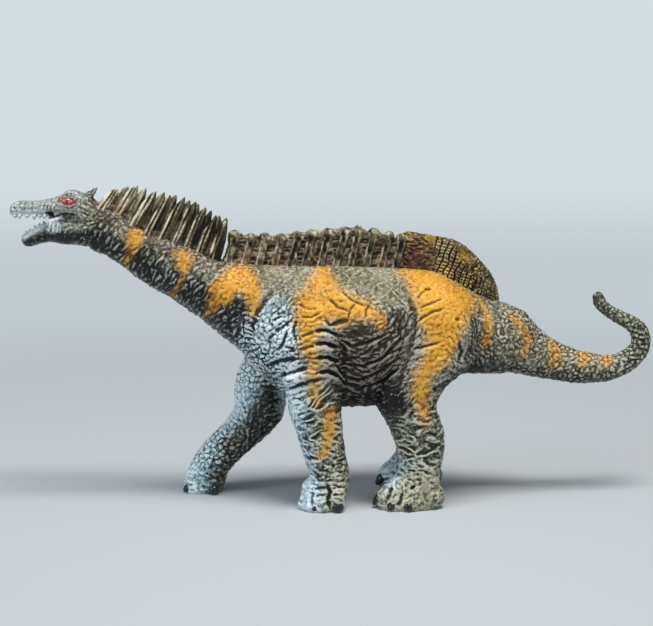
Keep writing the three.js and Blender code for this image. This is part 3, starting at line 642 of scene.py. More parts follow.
# How the swellings and creases end, and where the skin near the ground stays flat. Then how the sculpted
# height becomes a relief from 0 to 1, which chooses between wash, paint and dry brush: the dark wash in
# grooves and creases is partly painted shade, and the light dry brush on ridges partly painted highlight
skinLook = {
    "swellFall": 1.6, "swellSide": (0, 0.4), "creaseEnd": (0.2, 0.25), "creaseSide": (-0.1, 0.35),
    "flatSole": (0.2, 1.6), "rounds": 14, "middle": 0.46, "gain": 2.9, "patchy": 0.12, "patch": 6,
}


def sculptSkin(obj, look):
    points, normals, edges = pointsOf(obj), normalsOf(obj), edgesOf(obj)
    places = photoPlace(points)
    side = ease(np.abs(normals[:, 1]), *look["swellSide"])
    for x, y, reach, height in skinSwells:
        far = ((places - (x, y)) ** 2).sum(1) / reach ** 2
        points = points + normals * (height * np.exp(-look["swellFall"] * far) * side)[:, None]
    creases = np.zeros(len(points))
    for line, depth, half in skinCreases:
        creases = np.maximum(creases, lineHeight(places, line, depth, half, *look["creaseEnd"]))
    creases *= ease(np.sign(points[:, 1]) * normals[:, 1], *look["creaseSide"])
    height = grainHeight(points, places, skinGrain, grainSizes) - creases
    height *= ease(points[:, 2], *look["flatSole"])
    local = height - spread(height, edges, look["rounds"])
    patches = look["patchy"] * softNoise(points, look["patch"], 31)
    setAttribute(obj, "relief", np.clip(look["middle"] + look["gain"] * local + patches, 0, 1))
    paintSkin(obj, places, normals, points, formPaint)
    points = points + normals * height[:, None]
    points[:, 2] = np.maximum(points[:, 2], 0)
    setPoints(obj, points)


# Patches of colour, as outlines in the photo frame, each with how soft its edge is in pixels and how strong
# it is. Most are sprayed paint; the darkest brown under the belly is painted shade, the dark is partly
# painted shade, and the blue and sky are partly painted reflection of a cool window light
paintAndShadePatches = {
    "olive": [
        ([(256, 262), (400, 262), (424, 276), (420, 300), (404, 304), (384, 306), (345, 294), (330, 272),
          (310, 282), (298, 300), (292, 316), (276, 312), (262, 296)], 8, 0.95),
        ([(464, 284), (480, 292), (506, 306), (504, 330), (492, 336), (480, 310)], 7, 0.5),
        ([(500, 302), (540, 330), (570, 350), (612, 357), (604, 374), (560, 370), (500, 362),
          (490, 330)], 6, 0.7),
    ],
    "tan": [
        ([(84, 196), (112, 205), (150, 227), (190, 245), (228, 262), (300, 262), (300, 268), (236, 272),
          (206, 274), (176, 262), (150, 250), (124, 236), (98, 224), (86, 214)], 6, 1.0),
        ([(392, 262), (436, 262), (462, 280), (490, 300), (470, 296), (440, 275), (396, 271)], 5, 0.6),
    ],
    # dark: the neck's own dark green-black paint, which also serves as painted shade under the jaw and the
    # neck, behind the far leg, under the belly by the hind leg and under the tail root
    "dark": [
        ([(56, 250), (62, 237), (84, 234), (100, 232), (124, 241), (150, 258), (176, 271), (202, 282),
          (232, 292), (250, 302), (248, 322), (244, 345), (230, 350), (160, 310), (80, 262)], 7, 1.0),
        ([(20, 238), (34, 234), (46, 229), (55, 230), (62, 231), (78, 232), (92, 232), (102, 232),
          (100, 248), (60, 252), (24, 252)], 3, 1.0),
        ([(250, 404), (268, 390), (287, 388), (288, 410), (268, 434), (248, 450), (244, 434)], 7, 0.9),
        ([(396, 388), (408, 392), (402, 412), (396, 430), (384, 412), (380, 400)], 6, 0.7),
        ([(448, 372), (480, 362), (520, 367), (570, 376), (610, 374), (560, 392), (460, 392)], 7, 0.8),
        ([(474, 318), (484, 330), (482, 352), (470, 364), (462, 350), (472, 336)], 8, 0.6),
        ([(250, 330), (262, 340), (268, 362), (256, 366), (242, 348)], 6, 0.5),
    ],
    "mauve": [
        ([(394, 312), (410, 316), (422, 342), (416, 372), (404, 396), (390, 384), (402, 350)], 8, 0.8),
        ([(318, 340), (338, 334), (346, 372), (338, 388), (322, 382)], 6, 0.7),
        ([(448, 334), (470, 322), (478, 345), (462, 364), (446, 358)], 8, 0.5),
    ],
    "brown": [
        ([(340, 328), (360, 319), (390, 321), (402, 312), (410, 330), (405, 358), (396, 380), (400, 396),
          (366, 400), (340, 392), (336, 366), (336, 345)], 10, 1.0),
        ([(338, 380), (366, 386), (400, 378), (406, 412), (338, 412)], 6, 1.0),
    ],
    # Painted shade: the darkest brown under the belly and along its front edge
    "underBellyShade": [
        ([(336, 376), (352, 388), (370, 392), (390, 384), (402, 374), (408, 412), (336, 412)], 6, 1.0),
        ([(334, 336), (342, 344), (344, 380), (338, 392), (332, 380), (336, 360)], 5, 0.6),
        ([(348, 374), (366, 380), (388, 372), (400, 352), (404, 372), (390, 388), (366, 394),
          (346, 388)], 6, 0.55),
    ],
    # Pale leg paint, whose near-white dry brush on the ridges is partly painted highlight
    "pale": [
        ([(302, 396), (340, 394), (348, 440), (352, 512), (312, 512), (309, 470), (303, 430)], 8, 0.75),
        ([(400, 408), (440, 400), (446, 440), (442, 478), (402, 478), (396, 430)], 8, 0.6),
        ([(226, 440), (246, 452), (226, 496), (208, 496), (214, 470)], 6, 0.5),
    ],
    "cream": [
        ([(374, 480), (392, 474), (410, 476), (442, 468), (446, 514), (370, 514)], 5, 1.0),
        ([(60, 213), (68, 211), (90, 205), (98, 212), (98, 222), (86, 226), (74, 221)], 4, 0.65),
    ],
    # Blue on the chest, the leg fronts, the snout tip, the mouth corner and the hind ankle: partly the
    # figure's own pale blue paint and partly painted reflection of a cool window light from ahead and to the
    # left
    "blue": [
        ([(266, 302), (284, 298), (298, 312), (300, 345), (296, 376), (270, 378), (250, 362), (238, 346),
          (238, 330), (250, 316)], 9, 0.85),
        ([(236, 352), (262, 372), (262, 392), (244, 418), (222, 440), (214, 470), (208, 496), (182, 496),
          (182, 462), (202, 434), (228, 412)], 7, 1.0),
        ([(280, 380), (300, 378), (308, 402), (308, 432), (314, 460), (320, 484), (322, 514), (298, 514),
          (296, 490), (304, 474), (296, 446)], 8, 0.9),
        ([(270, 352), (300, 350), (306, 376), (300, 388), (282, 386)], 8, 0.6),
        ([(8, 202), (18, 200), (19, 214), (9, 216)], 4, 0.8),
        ([(48, 220), (60, 219), (58, 232), (50, 232)], 4, 0.45),
        ([(398, 462), (418, 460), (412, 476), (398, 478)], 6, 0.4),
        ([(376, 456), (398, 460), (396, 490), (376, 490)], 5, 0.9),
    ],
    # Paler cyan on the leg fronts, the far front leg, the near front foot and the head: partly the figure's
    # own blue paint and partly painted reflection of a cool window light; along the snout's lip it is painted
    # highlight
    "sky": [
        ([(298, 480), (313, 478), (319, 492), (318, 514), (298, 514)], 5, 1.0),
        ([(280, 384), (291, 382), (298, 410), (302, 440), (308, 462), (314, 482), (300, 486), (300, 470),
          (292, 440), (283, 410)], 7, 0.85),
        ([(236, 350), (254, 366), (256, 392), (240, 412), (224, 426), (205, 450), (197, 478), (202, 496),
          (182, 496), (184, 464), (200, 436), (228, 408), (232, 380)], 9, 1.0),
        ([(276, 368), (292, 364), (300, 376), (286, 386), (276, 382)], 6, 0.6),
        ([(258, 318), (276, 316), (292, 330), (288, 352), (270, 356), (254, 340)], 8, 0.4),
        ([(10, 200), (56, 193), (80, 187), (88, 196), (80, 206), (56, 211), (12, 214)], 5, 0.2),
        ([(47, 216), (57, 216), (57, 231), (48, 230)], 3, 0.7),
        ([(10, 211), (44, 208), (50, 214), (10, 216)], 2, 0.5),
        ([(372, 452), (400, 456), (400, 480), (374, 482)], 6, 0.9),
    ],
    "fawn": [([(258, 284), (292, 284), (294, 304), (282, 312), (264, 312)], 7, 0.6)],
    "mist": [
        ([(8, 198), (56, 191), (80, 185), (94, 194), (96, 212), (84, 222), (56, 218), (40, 216),
          (10, 218)], 4, 0.9),
        ([(56, 213), (90, 207), (99, 220), (90, 228), (74, 230), (60, 229)], 4, 1.0),
    ],
    "yellow": [
        ([(130, 231), (139, 231), (143, 236), (139, 246), (132, 251), (128, 245)], 5, 0.95),
        ([(131, 251), (134, 254), (129, 262), (124, 264), (126, 257)], 4, 0.55),
        ([(175, 254), (182, 250), (189, 253), (191, 260), (189, 268), (184, 273), (178, 268),
          (180, 262)], 6, 1.0),
        ([(183, 273), (187, 277), (180, 288), (172, 298), (170, 296), (176, 285)], 4, 0.55),
        ([(209, 288), (216, 281), (224, 275), (229, 269), (238, 267), (248, 268), (256, 274), (259.5, 283),
          (260, 295), (258, 306), (254, 317), (250, 316), (250, 304), (247, 296), (242, 292), (235, 293),
          (231, 299), (226, 304), (219, 305), (213, 313), (206, 316), (209, 303), (212, 296)], 6, 1.0),
        ([(321, 266), (314.5, 277), (306, 288.5), (296, 301.5), (295, 320), (299.5, 329), (300.5, 342),
          (305, 352.5), (310, 359), (311, 380), (317, 378), (317, 363.5), (316, 347), (317, 331),
          (320, 324.5), (328, 320), (338, 318), (339, 325.5), (345, 324), (355, 319), (371, 319),
          (379.5, 326.5), (384, 321), (378.5, 311.5), (370, 304), (358, 298.5), (347, 294), (339.5, 285.5),
          (332, 276.5), (326.5, 267.5)], 8, 1.0),
        ([(311, 384), (318, 384), (320, 392), (319, 404), (313, 405), (310, 395)], 6, 0.85),
        ([(325, 409), (334, 408), (335, 418), (335, 430), (334, 441), (331, 448), (326, 455), (319, 457),
          (321, 449), (324, 440), (323.5, 430), (326, 420)], 5, 0.95),
        ([(400, 269), (405, 281), (413.5, 296.5), (418, 312), (422.5, 325.5), (428, 334.5), (428, 345.5),
          (424.5, 357), (418, 370), (415.5, 381), (415, 398), (418, 411), (424, 424), (427, 412),
          (428, 398), (429, 383.5), (433, 373), (442.5, 365.5), (451.5, 353.5), (457, 342), (460.5, 332),
          (467, 320), (475, 307.5), (475, 298.5), (462.5, 287.5), (449, 277.5), (436, 270.5),
          (418, 268)], 8, 1.0),
        ([(479, 300), (485, 304), (491, 318), (492, 332), (489, 346), (484, 351), (483, 340), (486, 328),
          (484, 314)], 5, 0.8),
        ([(510, 314), (518, 319), (528, 329), (532, 341), (529, 353), (523, 358), (521, 350), (525, 341),
          (520, 329)], 6, 0.85),
        ([(549, 342), (556, 345), (561, 352), (560, 361), (554, 367), (549, 365), (553, 356)], 6, 0.9),
        ([(578, 352), (587, 353), (589, 360), (585, 366), (579, 366), (580, 359)], 6, 0.9),
        ([(604, 355), (611, 356), (613, 361), (608, 365), (603, 363)], 6, 0.9),
    ],
}
# The mouth corner, painted near black as painted shade in the pit there
mouthDark = [(45.5, 212), (53.5, 212.5), (55, 217.5), (46, 218.5)]
eyePatch = {"x": 67.8, "y": 200.8, "wide": 9.2, "high": 6.0, "rim": 1.1, "ragged": 0.22, "soft": 0.45}

# Paint that follows the form, mostly painted light: faces turned down and the legs' inner faces get painted
# shade, the belly's underside its darkest painted shade, and faces turned ahead on the chest and legs a pale
# blue that is partly painted reflection of a cool window light; the yellow keeps off faces turned to the far
# side.
# Settings: the belly's span along X and the tops of the legs and of the chest in mm, each with how soft it
# ends;
# from how far to how far a face is turned down, inwards, ahead or to the far side; the strengths; how soft
# edges run inwards and outwards; and the height, size and seed of their raggedness
formPaint = {
    "bellyFrom": -16, "bellyTo": 44, "bellySoft": (10, 8), "legTop": 52, "legSoft": 6, "chestTop": 60,
    "chestSoft": 20, "chestBack": (-2, 8), "offGround": (8, 16), "down": (0.3, 0.75), "inwards": (0.3, 0.7),
    "ahead": (0.3, 0.9), "farSide": (-0.35, 0.1), "chestBlue": 0.9, "underDark": 0.85, "innerDark": 0.5,
    "bellyShadeShare": 0.7, "softIn": 1.2, "softOut": 1.3,
    "ragged": ((1.8, 2.2, 41), (1.2, 0.8, 43)),
}


def paintSkin(obj, places, normals, points, form):
    x, z = points[:, 0], points[:, 2]
    outward = np.sign(points[:, 1]) * normals[:, 1]
    softFront, softBack = form["bellySoft"]
    under = ease(-normals[:, 2], *form["down"]) * ease(z, *form["offGround"])
    belly = ease(x, form["bellyFrom"], form["bellyFrom"] + softFront) * ease(form["bellyTo"] - x, 0, softBack)
    inner = ease(-outward, *form["inwards"]) * ease(form["legTop"] - z, 0, form["legSoft"])
    front = ease(-normals[:, 0], *form["ahead"]) * ease(form["chestTop"] - z, 0, form["chestSoft"])
    front *= ease(-x, *form["chestBack"])
    wobble = sum(height * softNoise(points, size, seed) for height, size, seed in form["ragged"])
    layers = {}
    for name, patches in paintAndShadePatches.items():
        share = np.zeros(len(points))
        for outline, soft, strength in patches:
            within = ease(insideBy(places, outline) + wobble, -form["softOut"] * soft, form["softIn"] * soft)
            share = np.maximum(share, strength * within)
        layers[name] = share
    # Faces turned ahead on the chest and legs get blue, partly painted reflection of a cool window light;
    # less of it where faces turn down, as painted shade
    layers["blue"] = np.maximum(layers["blue"], form["chestBlue"] * front) * (1 - 0.5 * under)
    # Faces turned down along the belly get its brown as painted shade
    layers["brown"] = np.maximum(layers["brown"], under * belly)
    cool = np.maximum(layers["blue"], layers["sky"])
    # Painted shade: faces turned down outside the belly, and the legs' inner faces where they are not blue,
    # are painted dark
    shade = form["underDark"] * under * (1 - belly) + form["innerDark"] * inner * (1 - cool)
    layers["dark"] = np.maximum(layers["dark"], np.clip(shade, 0, 1))
    # Painted shade: faces turned down along the belly get the darkest brown
    layers["underBellyShade"] = np.maximum(layers["underBellyShade"], form["bellyShadeShare"] * under * belly)
    layers["yellow"] *= ease(outward, *form["farSide"])
    wet = layers["dark"] + 0.7 * (layers["blue"] + layers["pale"])
    layers["gloss"] = np.clip(wet, 0, 1) * (1 - 0.7 * layers["yellow"]) * (1 - layers["brown"])
    eye = eyePatch
    away = ((places[:, 0] - eye["x"]) / eye["wide"]) ** 2 + ((places[:, 1] - eye["y"]) / eye["high"]) ** 2
    layers["red"] = ease(eye["rim"] - away + eye["ragged"] * wobble, 0, eye["soft"]) * ease(outward, 0.1, 0.4)
    for name, values in layers.items():
        setAttribute(obj, name, values)


sculptSkin(skin, skinLook)
print("skin sculpted")

# Lines of the face in the photo frame: rise in mm (below zero cuts in), half width in photo pixels
faceLines = [
    ([(46, 217.8), (53.6, 217.1), (60.4, 215.2), (67.3, 214), (76.5, 215.6)], -0.6, 1.3),
    ([(54, 219.5), (62, 218.2), (70, 217.8), (78, 219)], 0.4, 2.0),
    ([(11.5, 213.6), (23, 212), (34, 211), (44, 210.8)], 0.22, 1.2),
    ([(57, 197.8), (61, 194.6), (67, 192.4), (74, 192.6), (79.5, 196)], 0.5, 1.6),
    ([(58, 199.4), (63, 196.6), (68, 195.4), (74, 196.6)], -0.32, 0.9),
    ([(59.5, 203), (64, 205.8), (70, 206.4), (76.5, 203.6)], 0.28, 1.1),
    ([(59, 201), (63, 198.2), (68, 197.2), (73, 198.4), (76.5, 201)], 0.22, 0.8),
    ([(41, 209.6), (43, 203.6)], 0.24, 0.9), ([(44.8, 210), (47, 203)], 0.24, 0.9),
    ([(48.2, 209.5), (50.6, 203.4)], 0.24, 0.9), ([(52.2, 209), (54.2, 204)], 0.2, 0.9),
    ([(50.5, 223), (49, 231)], 0.24, 0.8), ([(54, 222.5), (52.6, 233)], 0.26, 0.9),
    ([(58, 223), (57, 233)], 0.24, 0.9), ([(60, 234), (60.6, 228), (64.5, 224.6), (72, 223.8)], 0.32, 1.1),
    ([(64.5, 234), (66.5, 229.5), (72, 227.5)], 0.28, 1.1),
    ([(69, 235), (71, 231.6), (76, 230)], 0.24, 1.0), ([(80, 198), (86, 201), (92, 206)], 0.25, 1.2),
    ([(79, 205), (86, 208), (93, 213)], 0.22, 1.2), ([(80, 212), (88, 215), (95, 219)], -0.3, 1.0),
]
# A pale band in the gum colour along the near lip of the lower jaw, partly the jaw's white paint and partly
# painted highlight on its lit top edge
jawLip = [(24, 237), (29, 233), (34, 230), (41, 225.5), (47, 221)]
# Nostril, its rim and the corner of the mouth: place in the photo frame, reach in pixels, rise in mm
facePits = [(14.2, 207.9, 1.3, -0.55), (14.2, 207.9, 3.2, 0.22), (49.8, 215, 3.4, -1.0)]
# How far a face is turned to the side or lies level, and how the lines end; where the neck begins and the
# scales behind the eye rise, in pixels; sizes of the scales and the heights of the palate, the gum and the
# lip, in mm; how the height becomes relief
faceForm = {
    "side": (0.1, 0.45), "lineEnd": (0.12, 0.3), "level": (0.5, 0.8),
    "neckAt": 101, "neckSoft": 8, "smooth": 3, "scale": 0.95, "scaleRise": 0.11, "scaleSpan": (60, 90),
    "rounds": 12, "oldShare": 0.5, "middle": 0.25, "gain": 2.6, "palate": 79.8, "gumSpan": (77, 79),
    "lipTop": 80.4, "lipHalf": 2.8,
}


def sculptHead(obj, form):
    points, edges = pointsOf(obj), edgesOf(obj)
    places = photoPlace(points)
    neck = ease(form["neckAt"] - places[:, 0], 0, form["neckSoft"])
    smooth = relax(points, edges, form["smooth"])
    points += (smooth - points) * neck[:, None]
    setPoints(obj, points)
    normals = normalsOf(obj)
    outward = ease(np.abs(normals[:, 1]), *form["side"])
    height = np.zeros(len(points))
    for line, rise, half in faceLines:
        height += lineHeight(places, line, rise, half, *form["lineEnd"])
    for x, y, reach, rise in facePits:
        height += rise * spotShare(places, x, y, reach)
    cells = cellPattern(points / form["scale"], 17)[0]
    scales = form["scaleRise"] * (ease(cells, 0.02, 0.4) - 0.6) * ease(places[:, 0], *form["scaleSpan"])
    height = (height * outward + scales) * neck
    local = height - spread(height, edges, form["rounds"])
    old = np.empty(len(points), np.float32)
    obj.data.attributes["relief"].data.foreach_get("value", old)
    relief = old * (1 - form["oldShare"] * neck) + form["middle"] * neck + form["gain"] * local
    setAttribute(obj, "relief", np.clip(relief, 0, 1))
    inside = ease(np.abs(normals[:, 2]), *form["level"]) * ease(-points[:, 0], *form["gumSpan"])
    inside *= np.where(points[:, 2] > form["palate"], normals[:, 2] < 0, normals[:, 2] > 0)
    # The lip band: partly white paint, partly painted highlight on the jaw's lit top edge
    lip = np.exp(-(nearLine(places, jawLip)[0] / form["lipHalf"]) ** 2)
    lip *= ease(form["lipTop"] - points[:, 2], 0, 0.6)
    setAttribute(obj, "gum", np.maximum(inside, lip))
    setAttribute(obj, "mouth", ease(insideBy(places, mouthDark), -0.8, 0.8) * outward)
    setPoints(obj, points + normals * height[:, None])


# Fills each open loop of a mesh with flat faces, seen along the loop's own direction. The loops are taken in
# the order of the edges, so that every run gives the same faces
def closeLoops(mesh):
    left = dict.fromkeys(e for e in mesh.edges if e.is_boundary)
    while left:
        edge = next(iter(left))
        del left[edge]
        loop, corner = [edge], edge.verts[1]
        while True:
            onward = [e for e in corner.link_edges if e in left]
            if not onward:
                break
            edge = onward[0]
            del left[edge]
            loop.append(edge)
            corner = edge.other_vert(corner)
        normal = Vector()
        around = [loop[0].verts[0], loop[0].verts[1]]
        for edge in loop[1:]:
            around.append(edge.other_vert(around[-1]))
        for a, b in zip(around, around[1:]):
            normal += a.co.cross(b.co)
        bmesh.ops.triangle_fill(mesh, edges=loop, use_beauty=True, normal=normal.normalized())
    bmesh.ops.recalc_face_normals(mesh, faces=mesh.faces)


# Cuts the skin into its pieces, each closed where it meets the next one
def partSkin(obj, names, build):
    pieces = {}
    for index, name in enumerate(names):
        piece = addToScene("skin_" + name, obj.data.copy())
        mesh = bmesh.new()
        mesh.from_mesh(piece.data)
        layer = mesh.faces.layers.int["owner"]
        bmesh.ops.delete(mesh, geom=[f for f in mesh.faces if f[layer] != index], context="FACES")
        if name in build["face"]:
            mesh.to_mesh(piece.data)
            applyModifier(piece, "SUBSURF", subdivision_type="SIMPLE", levels=1, render_levels=1)
            sculptHead(piece, faceForm)
            mesh.clear()
            mesh.from_mesh(piece.data)
        closeLoops(mesh)
        openEdges = sum(e.is_boundary for e in mesh.edges)
        mesh.to_mesh(piece.data)
        mesh.free()
        makeActive(piece)
        bpy.ops.object.shade_smooth_by_angle(angle=math.radians(build["sharp"]))
        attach(piece, "root")
        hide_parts(name)
        print(name, len(piece.data.polygons), "open edges", openEdges)
        pieces[name] = piece
    bpy.data.objects.remove(obj)
    return pieces


skinPieces = partSkin(skin, ownerNames, skinBuild)


# Rows on the back: neck spines, ribbed ridge and hip sail, each merged from its own forms
def skinTop(x, y):
    return topOf(skinTree, x, y)


# Where each point of a row lies on its nearest blade or rib: across it and how far up, as shares, and which
def rowPlace(points, blades):
    best = np.full(len(points), 1e9)
    across, up, which = (np.zeros(len(points)) for _ in range(3))
    for index, ((x, z), lean, length, width) in enumerate(blades):
        turn = math.radians(lean)
        dx, dz = points[:, 0] - x, points[:, 2] - z
        aside = dx * math.cos(turn) - dz * math.sin(turn)
        closer = np.abs(aside) < best
        best = np.where(closer, np.abs(aside), best)
        across = np.where(closer, aside / width, across)
        up = np.where(closer, (dx * math.sin(turn) + dz * math.cos(turn)) / length, up)
        which = np.where(closer, index, which)
    return across, up, which


# A blade or rib: its section drawn up along rings of width and thickness
def leaningForm(name, base, lean, length, width, thickness, section, rings, side=1):
    turn = math.radians(lean)
    up, across = Vector((math.sin(turn), 0, math.cos(turn))), Vector((math.cos(turn), 0, -math.sin(turn)))
    count = len(section)
    points = [Vector(base) + up * (t * length) + across * (u * w * width)
              + Vector((0, side * v * k * thickness / 2, 0)) for t, w, k in rings for u, v in section]
    faces = ringFaces(len(rings), count)
    faces += [tuple(range(count)), tuple(range((len(rings) - 1) * count, len(rings) * count))]
    return turnOutwards(meshObject(name, points, faces))


# A small unevenness along a row: how much, how fast it changes, the place in the row
def sway(amount, pace, step, shift=0):
    return amount * math.sin(pace * step + shift)


def assign(obj):
    makeActive(obj)
    bpy.ops.object.shade_smooth()
    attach(obj, "root")


def finishRow(obj, node, relief, accent, worn):
    for name, values in (("relief", relief), ("accent", accent), ("worn", worn)):
        setAttribute(obj, name, np.clip(values, 0, 1))
    assign(obj)
    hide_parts(node)


# How strongly a raised edge shows at a share across
def edgeBand(across, middle, half):
    return np.exp(-((across - middle) / half) ** 2)


spineForm = {
    "rows": {"neck_spines_left": (-1, 0), "neck_spines_right": (1, 0.5)},
    "firstX": -64.9, "pitch": 3.755, "count": 9, "aside": 2.4, "root": 2.0, "height": 12.0,
    "rises": [0.5, 0.7, 0.88, 0.95, 1.0, 1.01, 1.0, 0.97, 0.93],
    "places": [0, 0.15, 0.29, 0.415, 0.55, 0.665, 0.775, 0.89, 1],
    "leanFront": 33.0, "leanBack": 19.0, "width": 3.9, "thickness": 3.3, "voxel": 0.18, "rounds": 1,
    # How far along the blade, and how proud, its section runs round: two raised edges outside
    "section": [
        (-0.5, 0.3), (-0.44, 0.88), (-0.34, 1.0), (-0.22, 0.72), (-0.12, 0.9), (-0.02, 0.88), (0.1, 0.56),
        (0.28, 0.42), (0.5, 0.2), (0.5, -0.3), (0.2, -0.6), (-0.2, -0.75), (-0.45, -0.5),
    ],
    # How far up, width, thickness
    "rings": [
        (0, 1.15, 1.15), (0.3, 1.05, 1.05), (0.5, 0.94, 1), (0.66, 0.8, 0.92), (0.78, 0.64, 0.8),
        (0.88, 0.45, 0.62), (0.95, 0.28, 0.42), (1, 0.1, 0.18),
    ],
    # Bright edges, partly painted highlight where light catches the blades' front edges: place and half width
    # as shares across, strength, and how even and how patchy it is
    "edges": [(-0.37, 0.07, 0.46, 0.7, 0.5), (-0.08, 0.055, 0.36, 0.6, -0.5)],
    "look": {"middle": 0.44, "edge": 1.15, "groove": 0.28, "streak": 0.28, "patch": 0.08, "end": 0.14,
             "patchSize": 2.6, "accentSize": 5, "outside": 0.6, "farWorn": 0.45, "nearWorn": 0.05},
    # Unevenness of height, lean and width
    "heightSway": (0.03, 5.3), "leanSway": (1.5, 3.1), "widthSway": (0.08, 7.7), "ahead": 0.5,
    # Streaks along a blade: height in mm, how fine they are across, through and up, and the step to the next
    "streak": 0.17, "streakFine": (7, 1.1, 2.6), "streakStep": 3.7, "streakFrom": (0.1, 0.25),
    # The low foot: rings, how deep its middle lies, half width and half height
    "foot": (12, 0.4, 1.2, 1.6),
}


# Merges the blades of one side over a low foot that runs along under them
def makeSpineRow(form, name, side, first):
    last = form["count"] - 1
    aside, blades, spots, step = side * form["aside"], [], [], first
    while step < form["count"]:
        x = form["firstX"] + form["pitch"] * last * np.interp(step, range(form["count"]), form["places"])
        uneven = 1 + sway(*form["heightSway"], step, side)
        rise = np.interp(step, range(form["count"]), form["rises"]) * form["height"] * uneven
        lean = form["leanFront"] + (form["leanBack"] - form["leanFront"]) * (step / last)
        lean += sway(*form["leanSway"], step)
        base = (x - form["ahead"], aside, skinTop(x, aside) - form["root"])
        width = form["width"] * (1 + sway(*form["widthSway"], step))
        blades.append(leaningForm("blade", base, lean, rise + form["root"], width, form["thickness"],
                                  form["section"], form["rings"], side))
        spots.append(((base[0], base[2]), lean, rise + form["root"], form["pitch"]))
        step += 1
    foot, (rings, deep, halfWidth, halfHeight) = [], form["foot"]
    for t in np.linspace(0, 1, rings):
        x = form["firstX"] + first * form["pitch"] + t * form["pitch"] * (last - 2 * first)
        foot.append(((x, aside, skinTop(x, aside) - deep), (1, 0, 0), halfWidth, halfHeight))
    blades.append(loft("spineFoot", foot, sides=12))
    return mergeForms(blades, name, form["voxel"], form["rounds"]), spots


def makeSpines(form):
    rows, look = {}, form["look"]
    fineAcross, fineThrough, fineUp = form["streakFine"]
    for node, (side, first) in form["rows"].items():
        row, spots = makeSpineRow(form, "spines_left" if side < 0 else "spines_right", side, first)
        points, normals = pointsOf(row), normalsOf(row)
        across, up, which = rowPlace(points, spots)
        along = np.stack([across * fineAcross, points[:, 1] / fineThrough + form["streakStep"] * which,
                          up * fineUp], 1)
        streaks, patches = softNoise(along, 1, 71), softNoise(points, look["patchSize"], 75)
        points += normals * (form["streak"] * streaks * ease(up, *form["streakFrom"]))[:, None]
        setPoints(row, points)
        outside = 1 - look["outside"] + look["outside"] * ease(side * normals[:, 1], -0.2, 0.3)
        bands = sum(bright * edgeBand(across, middle, half) * (even + patchy * patches)
                    for middle, half, bright, even, patchy in form["edges"])
        # The groove between the bright edges and the rear of each blade are painted darker, partly painted
        # shade on the side turned from the light
        groove = edgeBand(across, -0.22, 0.05) + ease(across, 0.04, 0.2) * (0.8 - 0.4 * ease(up, 0.8, 1))
        relief = look["middle"] + look["edge"] * bands * outside - look["groove"] * groove \
            + look["streak"] * streaks + look["patch"] * patches \
            - look["end"] * ease(which, 2, 5) + look["end"] * ease(2.5 - which, 0, 2)
        accent = ease(softNoise(points, look["accentSize"], 73), 0.35, 0.8) * ease(0.75 - up, 0, 0.4)
        worn = 0.5 * ease(up, 0.7, 0.95) + (look["farWorn"] if side > 0 else look["nearWorn"])
        finishRow(row, node, relief, accent, worn)
        rows[node] = row
    return rows


ridgeForm = {
    "rises": [0.74, 0.73, 0.76, 0.77, 0.83, 0.88, 0.92, 0.97, 1.0, 0.94, 0.88, 0.82],
    "fromX": -31.0, "toX": 16.0, "height": 11.9, "root": 2.0, "lean": 15.0, "width": 2.9, "thickness": 5.0,
    "webShare": 0.96, "sag": 0.6, "webThickness": 3.0, "voxel": 0.18, "rounds": 1, "warm": (1, 3, 10),
    # Half of the section, with two raised edges and a shallow trough between them; the other half mirrors it
    "section": [
        (-0.5, 0.25), (-0.42, 0.85), (-0.28, 1.0), (-0.08, 0.84), (0.12, 0.84), (0.3, 0.98), (0.44, 0.78),
        (0.5, 0.25),
    ],
    "rings": [
        (0, 1.25, 1.2), (0.25, 0.98, 1.0), (0.5, 0.84, 0.88), (0.68, 0.86, 0.86), (0.78, 1.08, 0.96),
        (0.87, 1.18, 0.94), (0.95, 0.94, 0.74), (1, 0.45, 0.36),
    ],
    # Unevenness of lean and width; height in mm of the folds between the ribs and of the ribs' rough skin,
    # the folds' size along, across and up, and the sizes of the rough skin and of two kinds of patches
    "leanSway": (1.8, 2.1), "widthSway": (0.12, 3.7), "fold": 0.5, "rough": 0.2,
    "foldSize": (2.6, 6, 1.15), "roughSize": 0.9, "webPatch": 1.6, "ribPatch": 4,
    # Raised edges of a rib, painted lighter, the front one most, partly painted highlight: strength, place
    # and half width as shares across
    "edges": [(0.28, -0.2, 0.06), (0.16, 0.17, 0.05)],
}


